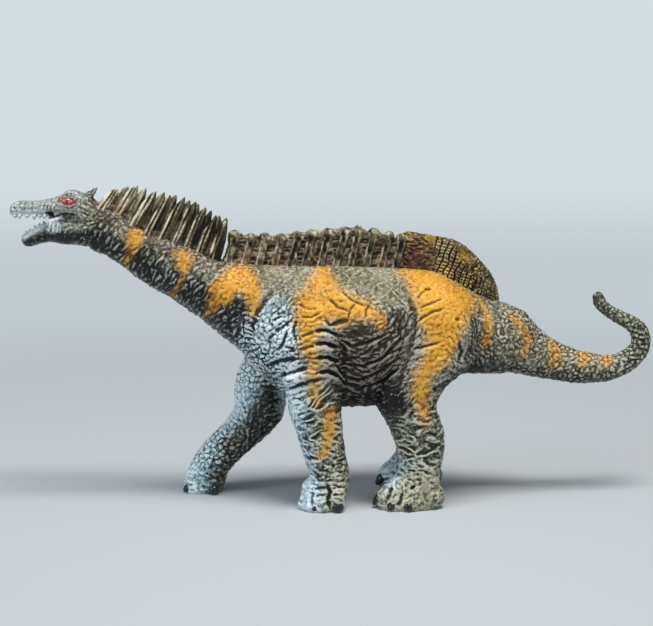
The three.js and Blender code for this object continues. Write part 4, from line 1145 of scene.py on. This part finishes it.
def makeRidge(form):
    ribs, web, spots = [], [], []
    count = len(form["rises"])
    pitch = (form["toX"] - form["fromX"]) / (count - 1)
    section = form["section"] + [(u, -v) for u, v in reversed(form["section"])]
    for k, rise in enumerate(form["rises"]):
        x = form["fromX"] + pitch * k
        foot = skinTop(x, 0) - form["root"]
        length = rise * form["height"] + form["root"]
        lean = form["lean"] + sway(*form["leanSway"], k)
        width = form["width"] * (1 + sway(*form["widthSway"], k))
        ribs.append(leaningForm("rib", (x, 0, foot), lean, length, width, form["thickness"], section,
                                form["rings"]))
        spots.append(((x, foot), lean, length, pitch))
        top = x + math.sin(math.radians(lean)) * length * form["webShare"]
        for offset, drop in ((-pitch / 2, form["sag"]), (0, 0)):
            high = form["webShare"] * length - drop
            web.append(((top + offset, 0, foot + high / 2), (1, 0, 0), form["webThickness"] / 2, high / 2))
    ribs.append(loft("web", web, sides=16, full=0.6))
    ridge = mergeForms(ribs, "ridge", form["voxel"], form["rounds"])
    points, normals = pointsOf(ridge), normalsOf(ridge)
    across, up, which = rowPlace(points, spots)
    between = ease(np.abs(across), 0.22, 0.32)
    flat = points / form["foldSize"]
    folds = np.maximum(thinRidges(flat, 77), 0.8 * thinRidges(flat + 9, 78))
    rough = softNoise(points / (1, 1, 1.8), form["roughSize"], 79)
    above = ease(up, 0.1, 0.22)
    height = form["fold"] * (folds - 0.45) * between + form["rough"] * rough * (1 - between)
    points += normals * (height * above)[:, None]
    setPoints(ridge, points)
    edges = sum(bright * edgeBand(across, middle, half) for bright, middle, half in form["edges"])
    # Ribs are lighter along their edges and near the top, partly painted highlight; the folds of the web get
    # a dry brush on their crests, partly painted highlight too
    ribRelief = 0.32 + 1.3 * edges * (1 - ease(up, 0.76, 0.84)) + 0.4 * rough + 0.16 * ease(up, 0.82, 0.95)
    webRelief = 0.16 + 0.62 * folds + 0.16 * softNoise(points, form["webPatch"], 85)
    relief = (1 - between) * ribRelief + between * webRelief
    patches = 0.25 * softNoise(points, form["ribPatch"], 83) * ease(0.9 - up, 0, 0.3)
    accent = (0.3 + 0.7 * between) * ease(0.97 - up, 0, 0.2) + patches
    warm = np.isin(which, form["warm"]) * ease(0.6 - up, 0, 0.3) * (1 - 0.7 * between)
    finishRow(ridge, "back_ridge", relief, accent, 0.6 * warm)
    return ridge


sailForm = {
    "fromX": 18.6, "length": 27.8, "voxel": 0.18, "rounds": 5,
    # Share of the length, height of the top edge
    "tops": [(0.0, 75.6), (0.05, 76.3), (0.2, 75.7), (0.35, 75.0), (0.5, 74.3), (0.6, 73.1), (0.7, 71.0),
             (0.8, 68.3), (0.9, 65.1), (0.97, 61.8), (1.0, 58.6)],
    "halfWidth": 2.0, "endShare": 0.55, "depth": 2.5,
    "grain": {"roundLump": 1.05, "ridgeLength": 4.0, "ridgePitch": 1.3},
    # Columns of scales: where they start and end in the photo frame, their lean, and a scale's size in mm
    "columns": {"from": 432, "to": 466, "lean": 20.0, "wide": 1.6, "high": 1.0, "depth": 0.42},
    # Raised posts: line in the photo frame, rise in mm, half width in pixels
    "posts": [
        ([(388, 231), (387, 246), (383, 264)], 0.5, 2.2), ([(403, 236), (402, 250), (399, 266)], 0.45, 1.8),
    ],
    "look": {"rounds": 14, "middle": 0.38, "gain": 2.9, "patchy": 0.16, "patch": 2.2},
}
# As skinGrain, for the sail
sailGrain = [
    (402, 236, -35, 20, 0.34, 0.1, 0), (404, 255, -8, 16, 0.3, 0.1, 0), (420, 252, 2, 16, 0.3, 0.14, 0),
    (430, 237, -40, 25, 0.3, 0.16, 0), (432, 258, 0, 20, 0.24, 0.14, 0.06),
    (448, 246, 60, 10, 0.02, 0.04, 0.04), (452, 262, 60, 10, 0.02, 0.04, 0.04),
    (463, 257, -50, 14, 0.1, 0.26, 0.06), (474, 272, 60, 40, 0.1, 0.2, 0.16),
    (490, 286, 60, 40, 0.1, 0.2, 0.14), (500, 298, 60, 40, 0.1, 0.16, 0.14),
]
# Spots of paint on the sail: place and reach in the photo frame
sailSpots = {
    "gold": [(464, 256, 8), (408, 239, 10), (428, 239, 9), (447, 270, 6)],
    "maroon": [(414, 254, 13)],
}


# Scales stacked in columns that lean back
def brickLumps(points, columns):
    turn = math.radians(columns["lean"])
    u = (points[:, 0] * math.cos(turn) - points[:, 2] * math.sin(turn)) / columns["wide"]
    v = (points[:, 2] * math.cos(turn) + points[:, 0] * math.sin(turn)) / columns["high"]
    column = np.floor(u).astype(np.int64)
    v = v + scatter(column, 0 * column, 0 * column, 91)
    inU, inV = u - column, v - np.floor(v)
    rowHeight = 0.5 + 0.5 * ease(np.minimum(inV, 1 - inV), 0.02, 0.34)
    return ease(np.minimum(inU, 1 - inU), 0.03, 0.26) * rowHeight


def makeSail(form):
    rows = []
    for share, top in form["tops"]:
        x = form["fromX"] + share * form["length"]
        foot = skinTop(x, 0) - form["depth"]
        width = form["halfWidth"] * (form["endShare"] if share in (0.0, 1.0) else 1)
        rows.append(((x, 0, (top + foot) / 2), (1, 0, 0), width, max(1.0, (top - foot) / 2)))
    sail = mergeForms([loft("sailCore", rows, sides=24, full=0.7)], "sail", form["voxel"], form["rounds"])
    points, normals, edges = pointsOf(sail), normalsOf(sail), edgesOf(sail)
    places = photoPlace(points)
    height = grainHeight(points, places, sailGrain, {**grainSizes, **form["grain"]})
    columns, look = form["columns"], form["look"]
    inColumns = ease(places[:, 0], columns["from"], columns["from"] + 6) \
        * ease(columns["to"] - places[:, 0] + 0.5 * (places[:, 1] - 262), 0, 8)
    warp = np.stack([softNoise(points, 2.6, 93 + k) for k in range(3)], 1) * 0.6
    height += inColumns * columns["depth"] * (brickLumps(points + warp, columns) - 0.5)
    for line, rise, half in form["posts"]:
        height += rise * np.exp(-(nearLine(places, line)[0] / half) ** 2)
    setPoints(sail, points + normals * height[:, None])
    tint = {}
    for name, spots in sailSpots.items():
        tint[name] = np.zeros(len(points))
        for x, y, reach in spots:
            tint[name] = np.maximum(tint[name], spotShare(places, x, y, reach))
    local = height - spread(height, edges, look["rounds"])
    relief = look["middle"] + look["gain"] * local + look["patchy"] * softNoise(points, look["patch"], 89)
    finishRow(sail, "hip_sail", relief, tint["gold"] + 0.2 * softNoise(points, 3, 87), tint["maroon"])
    return sail


spines = makeSpines(spineForm)
ridge = makeRidge(ridgeForm)
sail = makeSail(sailForm)
for piece in [*spines.values(), ridge, sail]:
    print(piece.name, len(piece.data.polygons), "faces")

# Teeth: which way they stand, length, radius, and the places of their roots along the edge of the jaw
teethForm = {
    "upper": {
        "way": -1, "length": 1.0, "radius": 0.62,
        "roots": [
            (-89.2, 2.9, 81.8), (-87.8, 3.5, 81.8), (-85.9, 3.8, 81.8),
            (-83.8, 4.0, 81.7), (-82.3, 4.1, 81.7), (-81.0, 4.2, 81.7),
        ],
    },
    "lower": {
        "way": 1, "length": 0.5, "radius": 0.42,
        "roots": [
            (-86.6, 2.3, 76.6), (-85.5, 2.8, 77.2), (-84.2, 3.1, 78.0),
            (-82.9, 3.3, 78.7), (-81.7, 3.5, 79.2), (-80.5, 3.7, 79.7),
        ],
    },
}
toothSway = (0.2, 2.9)
eyeForm = {"centre": (-74.8, 5.1, 85.6), "radii": (1.35, 0.65, 0.85), "pupil": (0.26, 0.3, 0.6), "proud": 0.5}

# Each claw: place of its root, way that it points, length, radius
clawForm = {
    "front_left": [
        ((-10.6, -12.9, 1.6), (-1, -0.3, -0.3), 1.5, 1.1),
        ((-7.6, -17.3, 1.5), (-0.6, -0.9, -0.25), 1.4, 1.2),
        ((-1.5, -18.5, 1.6), (0, -1, -0.2), 1.5, 1.75),
    ],
    "front_right": [
        ((-42.2, 10.4, 1.6), (-1, -0.4, -0.3), 1.5, 1.3),
        ((-34.8, 7.2, 1.6), (-0.1, -1, -0.2), 1.5, 1.6),
        ((-41.6, 16.8, 1.3), (-0.8, 0.6, -0.3), 1.8, 1.2),
    ],
    "hind_left": [
        ((10.9, -13.6, 3.0), (-1, -0.2, -0.6), 2.6, 1.7),
        ((13.6, -18.3, 1.6), (-0.6, -0.9, -0.25), 1.6, 1.4),
        ((18.0, -19.6, 1.4), (-0.2, -1, -0.25), 1.2, 1.4),
    ],
    "hind_right": [
        ((15.0, 12.4, 3.0), (-1, -0.2, -0.55), 2.6, 1.9),
        ((17.4, 18.4, 1.9), (-0.8, 0.6, -0.35), 2.4, 1.35),
        ((22.6, 19.4, 1.5), (-0.4, 0.9, -0.35), 1.6, 1.1),
    ],
}


# A rounded cone that bends down a little
def hookForm(root, direction, length, radius, droop=0.25, sides=14):
    ahead = Vector(direction).normalized()
    rows = []
    for t, k in ((-0.35, 0.6), (0, 0.95), (0.3, 1.0), (0.6, 0.78), (0.82, 0.5), (0.95, 0.28), (1, 0.1)):
        centre = Vector(root) + ahead * (t * length) - Vector((0, 0, droop * length * max(t, 0) ** 2))
        rows.append((centre, ahead, radius * k, radius * k * 0.9))
    obj = loft("hook", rows, sides=sides, full=1)
    applyModifier(obj, "SUBSURF", levels=1, render_levels=1)
    return obj


def finishDetail(objects, name):
    obj = joinAll(objects, name)
    assign(obj)
    return obj


def makeTeeth(form):
    rows = {}
    for row, spec in form.items():
        hooks = []
        for side, (index, (x, y, z)) in product((-1, 1), enumerate(spec["roots"])):
            size = 1 + sway(*toothSway, index, side)
            hooks.append(hookForm((x, side * y, z), (-0.15, 0, spec["way"]), spec["length"] * size,
                                  spec["radius"], droop=0, sides=10))
        rows[row] = finishDetail(hooks, row + "_teeth")
    return rows


def makeEyes(form):
    x, y, z = form["centre"]
    balls = [addBall((x, side * y, z), form["radii"], segments=32, rings=20) for side in (-1, 1)]
    pupils = [addBall((x, side * (y + form["proud"]), z), form["pupil"]) for side in (-1, 1)]
    return finishDetail(balls, "eyes"), finishDetail(pupils, "pupils")


teeth = makeTeeth(teethForm)
eyes, pupils = makeEyes(eyeForm)
claws = {foot: finishDetail([hookForm(*claw) for claw in rows], "claws_" + foot)
         for foot, rows in clawForm.items()}


# Paints: a colour as the shader takes it
def linear(code):
    values = [int(code[i:i + 2], 16) / 255 for i in (1, 3, 5)]
    return tuple(v / 12.92 if v <= 0.04045 else ((v + 0.055) / 1.055) ** 2.4 for v in values) + (1,)


def newMaterial(name):
    material = bpy.data.materials.new(name)
    material.use_nodes = True
    tree = material.node_tree

    def add(kind, inputs=None, **settings):
        node = tree.nodes.new(kind)
        for key, value in settings.items():
            setattr(node, key, value)
        for key, value in (inputs or {}).items():
            if isinstance(value, bpy.types.NodeSocket):
                tree.links.new(value, node.inputs[key])
            else:
                node.inputs[key].default_value = value
        return node

    return material, add, tree.nodes["Principled BSDF"], tree


def mixed(add, factor, a, b):
    return add("ShaderNodeMix", {0: factor, 6: a, 7: b}, data_type="RGBA", clamp_factor=True).outputs[2]


def stepped(add, value, low, high, bottom=0.0, top=1.0):
    return add("ShaderNodeMapRange", {"Value": value, "From Min": low, "From Max": high,
                                      "To Min": bottom, "To Max": top},
               interpolation_type="SMOOTHSTEP").outputs[0]


def noise(add, place, scale, detail=3.0):
    return add("ShaderNodeTexNoise", {"Vector": place, "Scale": scale, "Detail": detail}).outputs["Fac"]


def combined(add, kind, a, b):
    return add("ShaderNodeMath", {0: a, 1: b}, operation=kind).outputs[0]


# Each paint: a wash in the grooves, partly painted shade; the paint itself; and the dry-brushed ridges,
# partly painted highlight
paints = {
    "base": ("#22231c", "#6c6f5d", "#d3d5bf"),
    "olive": ("#4b4837", "#8a846a", "#c3be9f"),
    "fawn": ("#3a392f", "#95937d", "#d6d4bf"),
    "mist": ("#20251f", "#828b81", "#c3cdc8"),
    "tan": ("#262017", "#62574a", "#aa9e86"),
    # dark: the neck's own dark paint, also painted shade under the jaw, neck and belly and on the legs' inner
    # faces
    "dark": ("#05080a", "#18201f", "#7b8f92"),
    "mauve": ("#120e0f", "#4a4043", "#8c8183"),
    "brown": ("#070402", "#37291d", "#6e5c48"),
    # The darkest brown: painted shade under the belly
    "underBellyShade": ("#030202", "#0f0c09", "#2c2620"),
    # Pale leg paint; its near-white dry brush is partly painted highlight
    "pale": ("#1d1f18", "#82846d", "#f1f2e4"),
    "cream": ("#332f24", "#a09e84", "#eeecdb"),
    # Blue and sky: partly the figure's own pale blue paint, partly painted reflection of a cool window light,
    # with near-white painted highlights
    "blue": ("#121d22", "#87a6b2", "#e8f8fd"),
    "sky": ("#46626e", "#b2d1dd", "#f4fcff"),
    "yellow": ("#7a5217", "#d9982b", "#eebb48"),
    "red": ("#350d0e", "#934843", "#dba8a2"),
}
gumColour, mouthColour = "#d3dcdf", "#10191c"
# From the first coat to the last
paintOrder = (
    "olive", "fawn", "mist", "tan", "pale", "cream", "mauve", "brown", "underBellyShade", "dark", "blue", "sky",
    "yellow",
)
# The relief at which wash, paint and dry brush are whole; the wash is partly painted shade and the dry brush
# partly painted highlight
plainSpots = (0.24, 0.5, 0.78)
paintSpots = {
    "dark": (0.28, 0.72, 1.0), "brown": (0.2, 0.6, 1.0), "underBellyShade": (0.3, 0.6, 1.0),
    "yellow": (0.1, 0.42, 0.92), "olive": (0.14, 0.48, 0.84), "blue": (0.24, 0.46, 0.72),
    "sky": (0.12, 0.34, 0.62), "pale": (0.28, 0.48, 0.7),
}
# Satin varnish: what a wet look takes off the roughness, the shine, the sizes of its patches and of the fine
# grain, and the grain's depth in metres
finish = {"wet": 0.32, "shine": 0.3, "patch": 700, "grain": 2600, "depth": 0.00012}
# Paint grain: how fine it is on the skin and on the rows, how much it roughens the relief, and how the relief
# breaks up the edges of a coat
grainPaint = {
    "skin": 1500, "rows": 1300, "skinRough": 0.16, "rowsRough": 0.12, "edge": (0.2, 0.8, -0.14, 0.1),
}


def paintRamp(add, relief, colours, spots=plainSpots):
    ramp = add("ShaderNodeValToRGB", {"Fac": relief})
    ramp.color_ramp.elements.new(spots[1])
    for element, spot, colour in zip(ramp.color_ramp.elements, spots, colours):
        element.position, element.color = spot, linear(colour)
    return ramp.outputs["Color"]


def attributeOf(add, name):
    return add("ShaderNodeAttribute", attribute_name=name).outputs["Fac"]


def paintGrain(add, place, scale, rough):
    return stepped(add, noise(add, place, scale, 4.0), 0.25, 0.75, -rough, rough)


def satinFinish(add, tree, shader, colour, place, roughness=(0.36, 0.54), bump=0.25, gloss=None):
    tree.links.new(colour, shader.inputs["Base Color"])
    rough = stepped(add, noise(add, place, finish["patch"]), 0.3, 0.7, *roughness)
    if gloss is not None:
        rough = combined(add, "SUBTRACT", rough, combined(add, "MULTIPLY", gloss, finish["wet"]))
    tree.links.new(rough, shader.inputs["Roughness"])
    shader.inputs["Specular IOR Level"].default_value = finish["shine"]
    height = noise(add, place, finish["grain"], 4.0)
    grain = add("ShaderNodeBump", {"Strength": bump, "Distance": finish["depth"], "Height": height})
    tree.links.new(grain.outputs[0], shader.inputs["Normal"])


def makeSkinPaint(withFace):
    material, add, shader, tree = newMaterial("paintedFace" if withFace else "paintedSkin")
    place = add("ShaderNodeTexCoord").outputs["Object"]
    grain = paintGrain(add, place, grainPaint["skin"], grainPaint["skinRough"])
    relief = combined(add, "ADD", attributeOf(add, "relief"), grain)
    colour = paintRamp(add, relief, paints["base"])
    for name in paintOrder:
        broken = stepped(add, relief, *grainPaint["edge"])
        brushed = combined(add, "ADD", attributeOf(add, name), broken)
        spots = paintSpots.get(name, plainSpots)
        colour = mixed(add, brushed, colour, paintRamp(add, relief, paints[name], spots))
    if withFace:
        colour = mixed(add, attributeOf(add, "red"), colour, paintRamp(add, relief, paints["red"]))
        colour = mixed(add, attributeOf(add, "gum"), colour, linear(gumColour))
        colour = mixed(add, attributeOf(add, "mouth"), colour, linear(mouthColour))
    satinFinish(add, tree, shader, colour, place, (0.44, 0.62), 0.15, attributeOf(add, "gloss"))
    return material


# Rows on the back: paint that follows how far the surface stands out, darker where it sinks and lighter where
# it stands out, partly painted shade and highlight, with more paints over it
def makeRowPaint(name, colours, spots=(0.1, 0.45, 0.9)):
    material, add, shader, tree = newMaterial(name)
    place = add("ShaderNodeTexCoord").outputs["Object"]
    grain = paintGrain(add, place, grainPaint["rows"], grainPaint["rowsRough"])
    relief = combined(add, "ADD", attributeOf(add, "relief"), grain)
    colour = paintRamp(add, relief, colours["base"], spots)
    for layer in ("accent", "worn"):
        layerShare = attributeOf(add, layer)
        share = combined(add, "ADD", layerShare, combined(add, "MULTIPLY", grain, layerShare))
        colour = mixed(add, share, colour, paintRamp(add, relief, colours[layer], spots))
    satinFinish(add, tree, shader, colour, place)
    return material


# Teeth, claws and eyes: their own colour over darker patches, roughness, and clear coat
plainPaints = {
    "toothPaint": ("#dcdfd8", "#a9b2b0", 0.3, 0.0), "clawPaint": ("#17181a", "#2c2f30", 0.16, 0.5),
    "eyePaint": ("#9c3d3a", "#d38f89", 0.14, 0.6), "pupilPaint": ("#3d0b0a", "#5c1412", 0.12, 0.8),
}


def makePlainPaint(name, code, shade, roughness, coat):
    material, add, shader, tree = newMaterial(name)
    place = add("ShaderNodeTexCoord").outputs["Object"]
    colour = mixed(add, stepped(add, noise(add, place, 900), 0.35, 0.65), linear(shade), linear(code))
    satinFinish(add, tree, shader, colour, place, (roughness, roughness + 0.12), 0.1)
    shader.inputs["Coat Weight"].default_value = coat
    return material


skinPaint, facePaint = makeSkinPaint(False), makeSkinPaint(True)
for name, piece in skinPieces.items():
    piece.data.materials.clear()
    piece.data.materials.append(facePaint if name in skinBuild["face"] else skinPaint)

# Paints of the rows: most of it, the second colour, and where it is worn
rowColours = {
    "spines": {"base": ("#1a130c", "#66553f", "#ece4c8"), "accent": ("#20140c", "#86633f", "#efce9f"),
               "worn": ("#27251c", "#77735c", "#cdc9ac")},
    "ridge": {"base": ("#1a150e", "#67604a", "#c9c6aa"), "accent": ("#0c0704", "#463526", "#a89078"),
              "worn": ("#3f2b1a", "#94785a", "#e2c299")},
    "sail": {"base": ("#110c06", "#54472b", "#bcab75"), "accent": ("#2c1e0c", "#a37c34", "#f0d382"),
             "worn": ("#160a08", "#5a372b", "#cb9c7e")},
}
rowPaints = {name: makeRowPaint(name + "Paint", colours) for name, colours in rowColours.items()}
for piece, paint in [*[(p, "spines") for p in spines.values()], (ridge, "ridge"), (sail, "sail")]:
    piece.data.materials.append(rowPaints[paint])
details = {
    "toothPaint": teeth.values(), "clawPaint": claws.values(), "eyePaint": [eyes], "pupilPaint": [pupils],
}
for name, pieces in details.items():
    paint = makePlainPaint(name, *plainPaints[name])
    for piece in pieces:
        piece.data.materials.append(paint)
print("paints done")

# Stage, lengths in metres: the floor reaches from near to far, and turns up there into a backdrop. The
# camera sees it fade, by the distance from the figure, from lit floor to an even pale colour
stage = {
    "floor": (0.47, 0.51, 0.54), "farFloor": (0.53, 0.59, 0.63), "shown": (0.65, 0.72, 0.76),
    "rough": 0.55, "fade": (0.13, 0.5), "near": -2.0, "far": 0.73, "wide": 8.0, "high": 4.0, "round": 0.06,
    "sky": (0.83, 0.87, 0.92), "fill": 0.42,
}
# Lamps: place, size, power, colour
lamps = {
    "topKey": ((0.08, -0.26, 0.8), 0.32, 5.9, (1, 0.97, 0.93)),
    "windowSide": ((-0.75, -0.4, 0.45), 0.35, 2.0, (0.82, 0.92, 1)),
}
lampTarget = (0, 0, 0.04)


def addStage(settings):
    depth = settings["far"] - settings["near"]
    bpy.ops.mesh.primitive_plane_add(size=1, location=(0, settings["near"] + depth / 2, 0))
    floor = bpy.context.object
    floor.name = "floor"
    floor.scale = (settings["wide"], depth, 1)
    makeActive(floor)
    bpy.ops.object.transform_apply(location=True, rotation=True, scale=True)
    bpy.ops.object.mode_set(mode="EDIT")
    mesh = bmesh.from_edit_mesh(floor.data)
    for face in mesh.faces:
        face.select = False
    for edge in mesh.edges:
        edge.select = all(v.co.y > settings["far"] - 0.01 for v in edge.verts)
    bmesh.update_edit_mesh(floor.data)
    bpy.ops.mesh.extrude_region_move(TRANSFORM_OT_translate={"value": (0, 0, settings["high"])})
    mesh = bmesh.from_edit_mesh(floor.data)
    for vertex in mesh.verts:
        vertex.select = False
    for edge in mesh.edges:
        edge.select = all(abs(v.co.y - settings["far"]) < 0.01 and v.co.z < 0.01 for v in edge.verts)
    mesh.select_flush(True)
    bmesh.update_edit_mesh(floor.data)
    bpy.ops.mesh.bevel(offset=settings["round"], segments=10)
    bpy.ops.object.mode_set(mode="OBJECT")
    bpy.ops.object.shade_smooth()
    floor.data.materials.append(makeFloorPaint(settings))


def makeFloorPaint(settings):
    material, add, shader, tree = newMaterial("paleFloor")
    shader.inputs["Base Color"].default_value = (*settings["floor"], 1)
    shader.inputs["Roughness"].default_value = settings["rough"]
    place = add("ShaderNodeTexCoord").outputs["Object"]
    upWall = stepped(add, add("ShaderNodeSeparateXYZ", {0: place}).outputs[2], 0.0, settings["round"])
    away = add("ShaderNodeVectorMath", {0: place}, operation="LENGTH").outputs["Value"]
    seen = combined(add, "MULTIPLY", add("ShaderNodeLightPath").outputs["Is Camera Ray"],
                    stepped(add, away, *settings["fade"]))
    shown = mixed(add, upWall, (*settings["farFloor"], 1), (*settings["shown"], 1))
    wall = add("ShaderNodeEmission", {"Color": shown})
    whole = add("ShaderNodeMixShader", {0: seen, 1: shader.outputs[0], 2: wall.outputs[0]})
    tree.links.new(whole.outputs[0], tree.nodes["Material Output"].inputs[0])
    return material


# Soft light from all round, which the camera sees as the backdrop's colour
def addWorld(settings):
    world = bpy.data.worlds.new("studio")
    bpy.context.scene.world = world
    world.use_nodes = True
    tree = world.node_tree
    light = tree.nodes["Background"]
    light.inputs["Color"].default_value = (*settings["sky"], 1)
    light.inputs["Strength"].default_value = settings["fill"]
    shown = tree.nodes.new("ShaderNodeBackground")
    shown.inputs["Color"].default_value = (*settings["shown"], 1)
    blend = tree.nodes.new("ShaderNodeMixShader")
    tree.links.new(tree.nodes.new("ShaderNodeLightPath").outputs["Is Camera Ray"], blend.inputs[0])
    tree.links.new(light.outputs[0], blend.inputs[1])
    tree.links.new(shown.outputs[0], blend.inputs[2])
    tree.links.new(blend.outputs[0], tree.nodes["World Output"].inputs[0])


def addLamp(name, spot, size, power, colour):
    data = bpy.data.lights.new(name, "AREA")
    data.size, data.energy, data.color = size, power, colour
    lamp = addToScene(name, data)
    lamp.location = spot
    lamp.rotation_euler = (Vector(lampTarget) - Vector(spot)).to_track_quat("-Z", "Y").to_euler()


addStage(stage)
addWorld(stage)
for name, spec in lamps.items():
    addLamp(name, *spec)
print("stage and light done")

bpy.context.scene.view_settings.view_transform = "Standard"
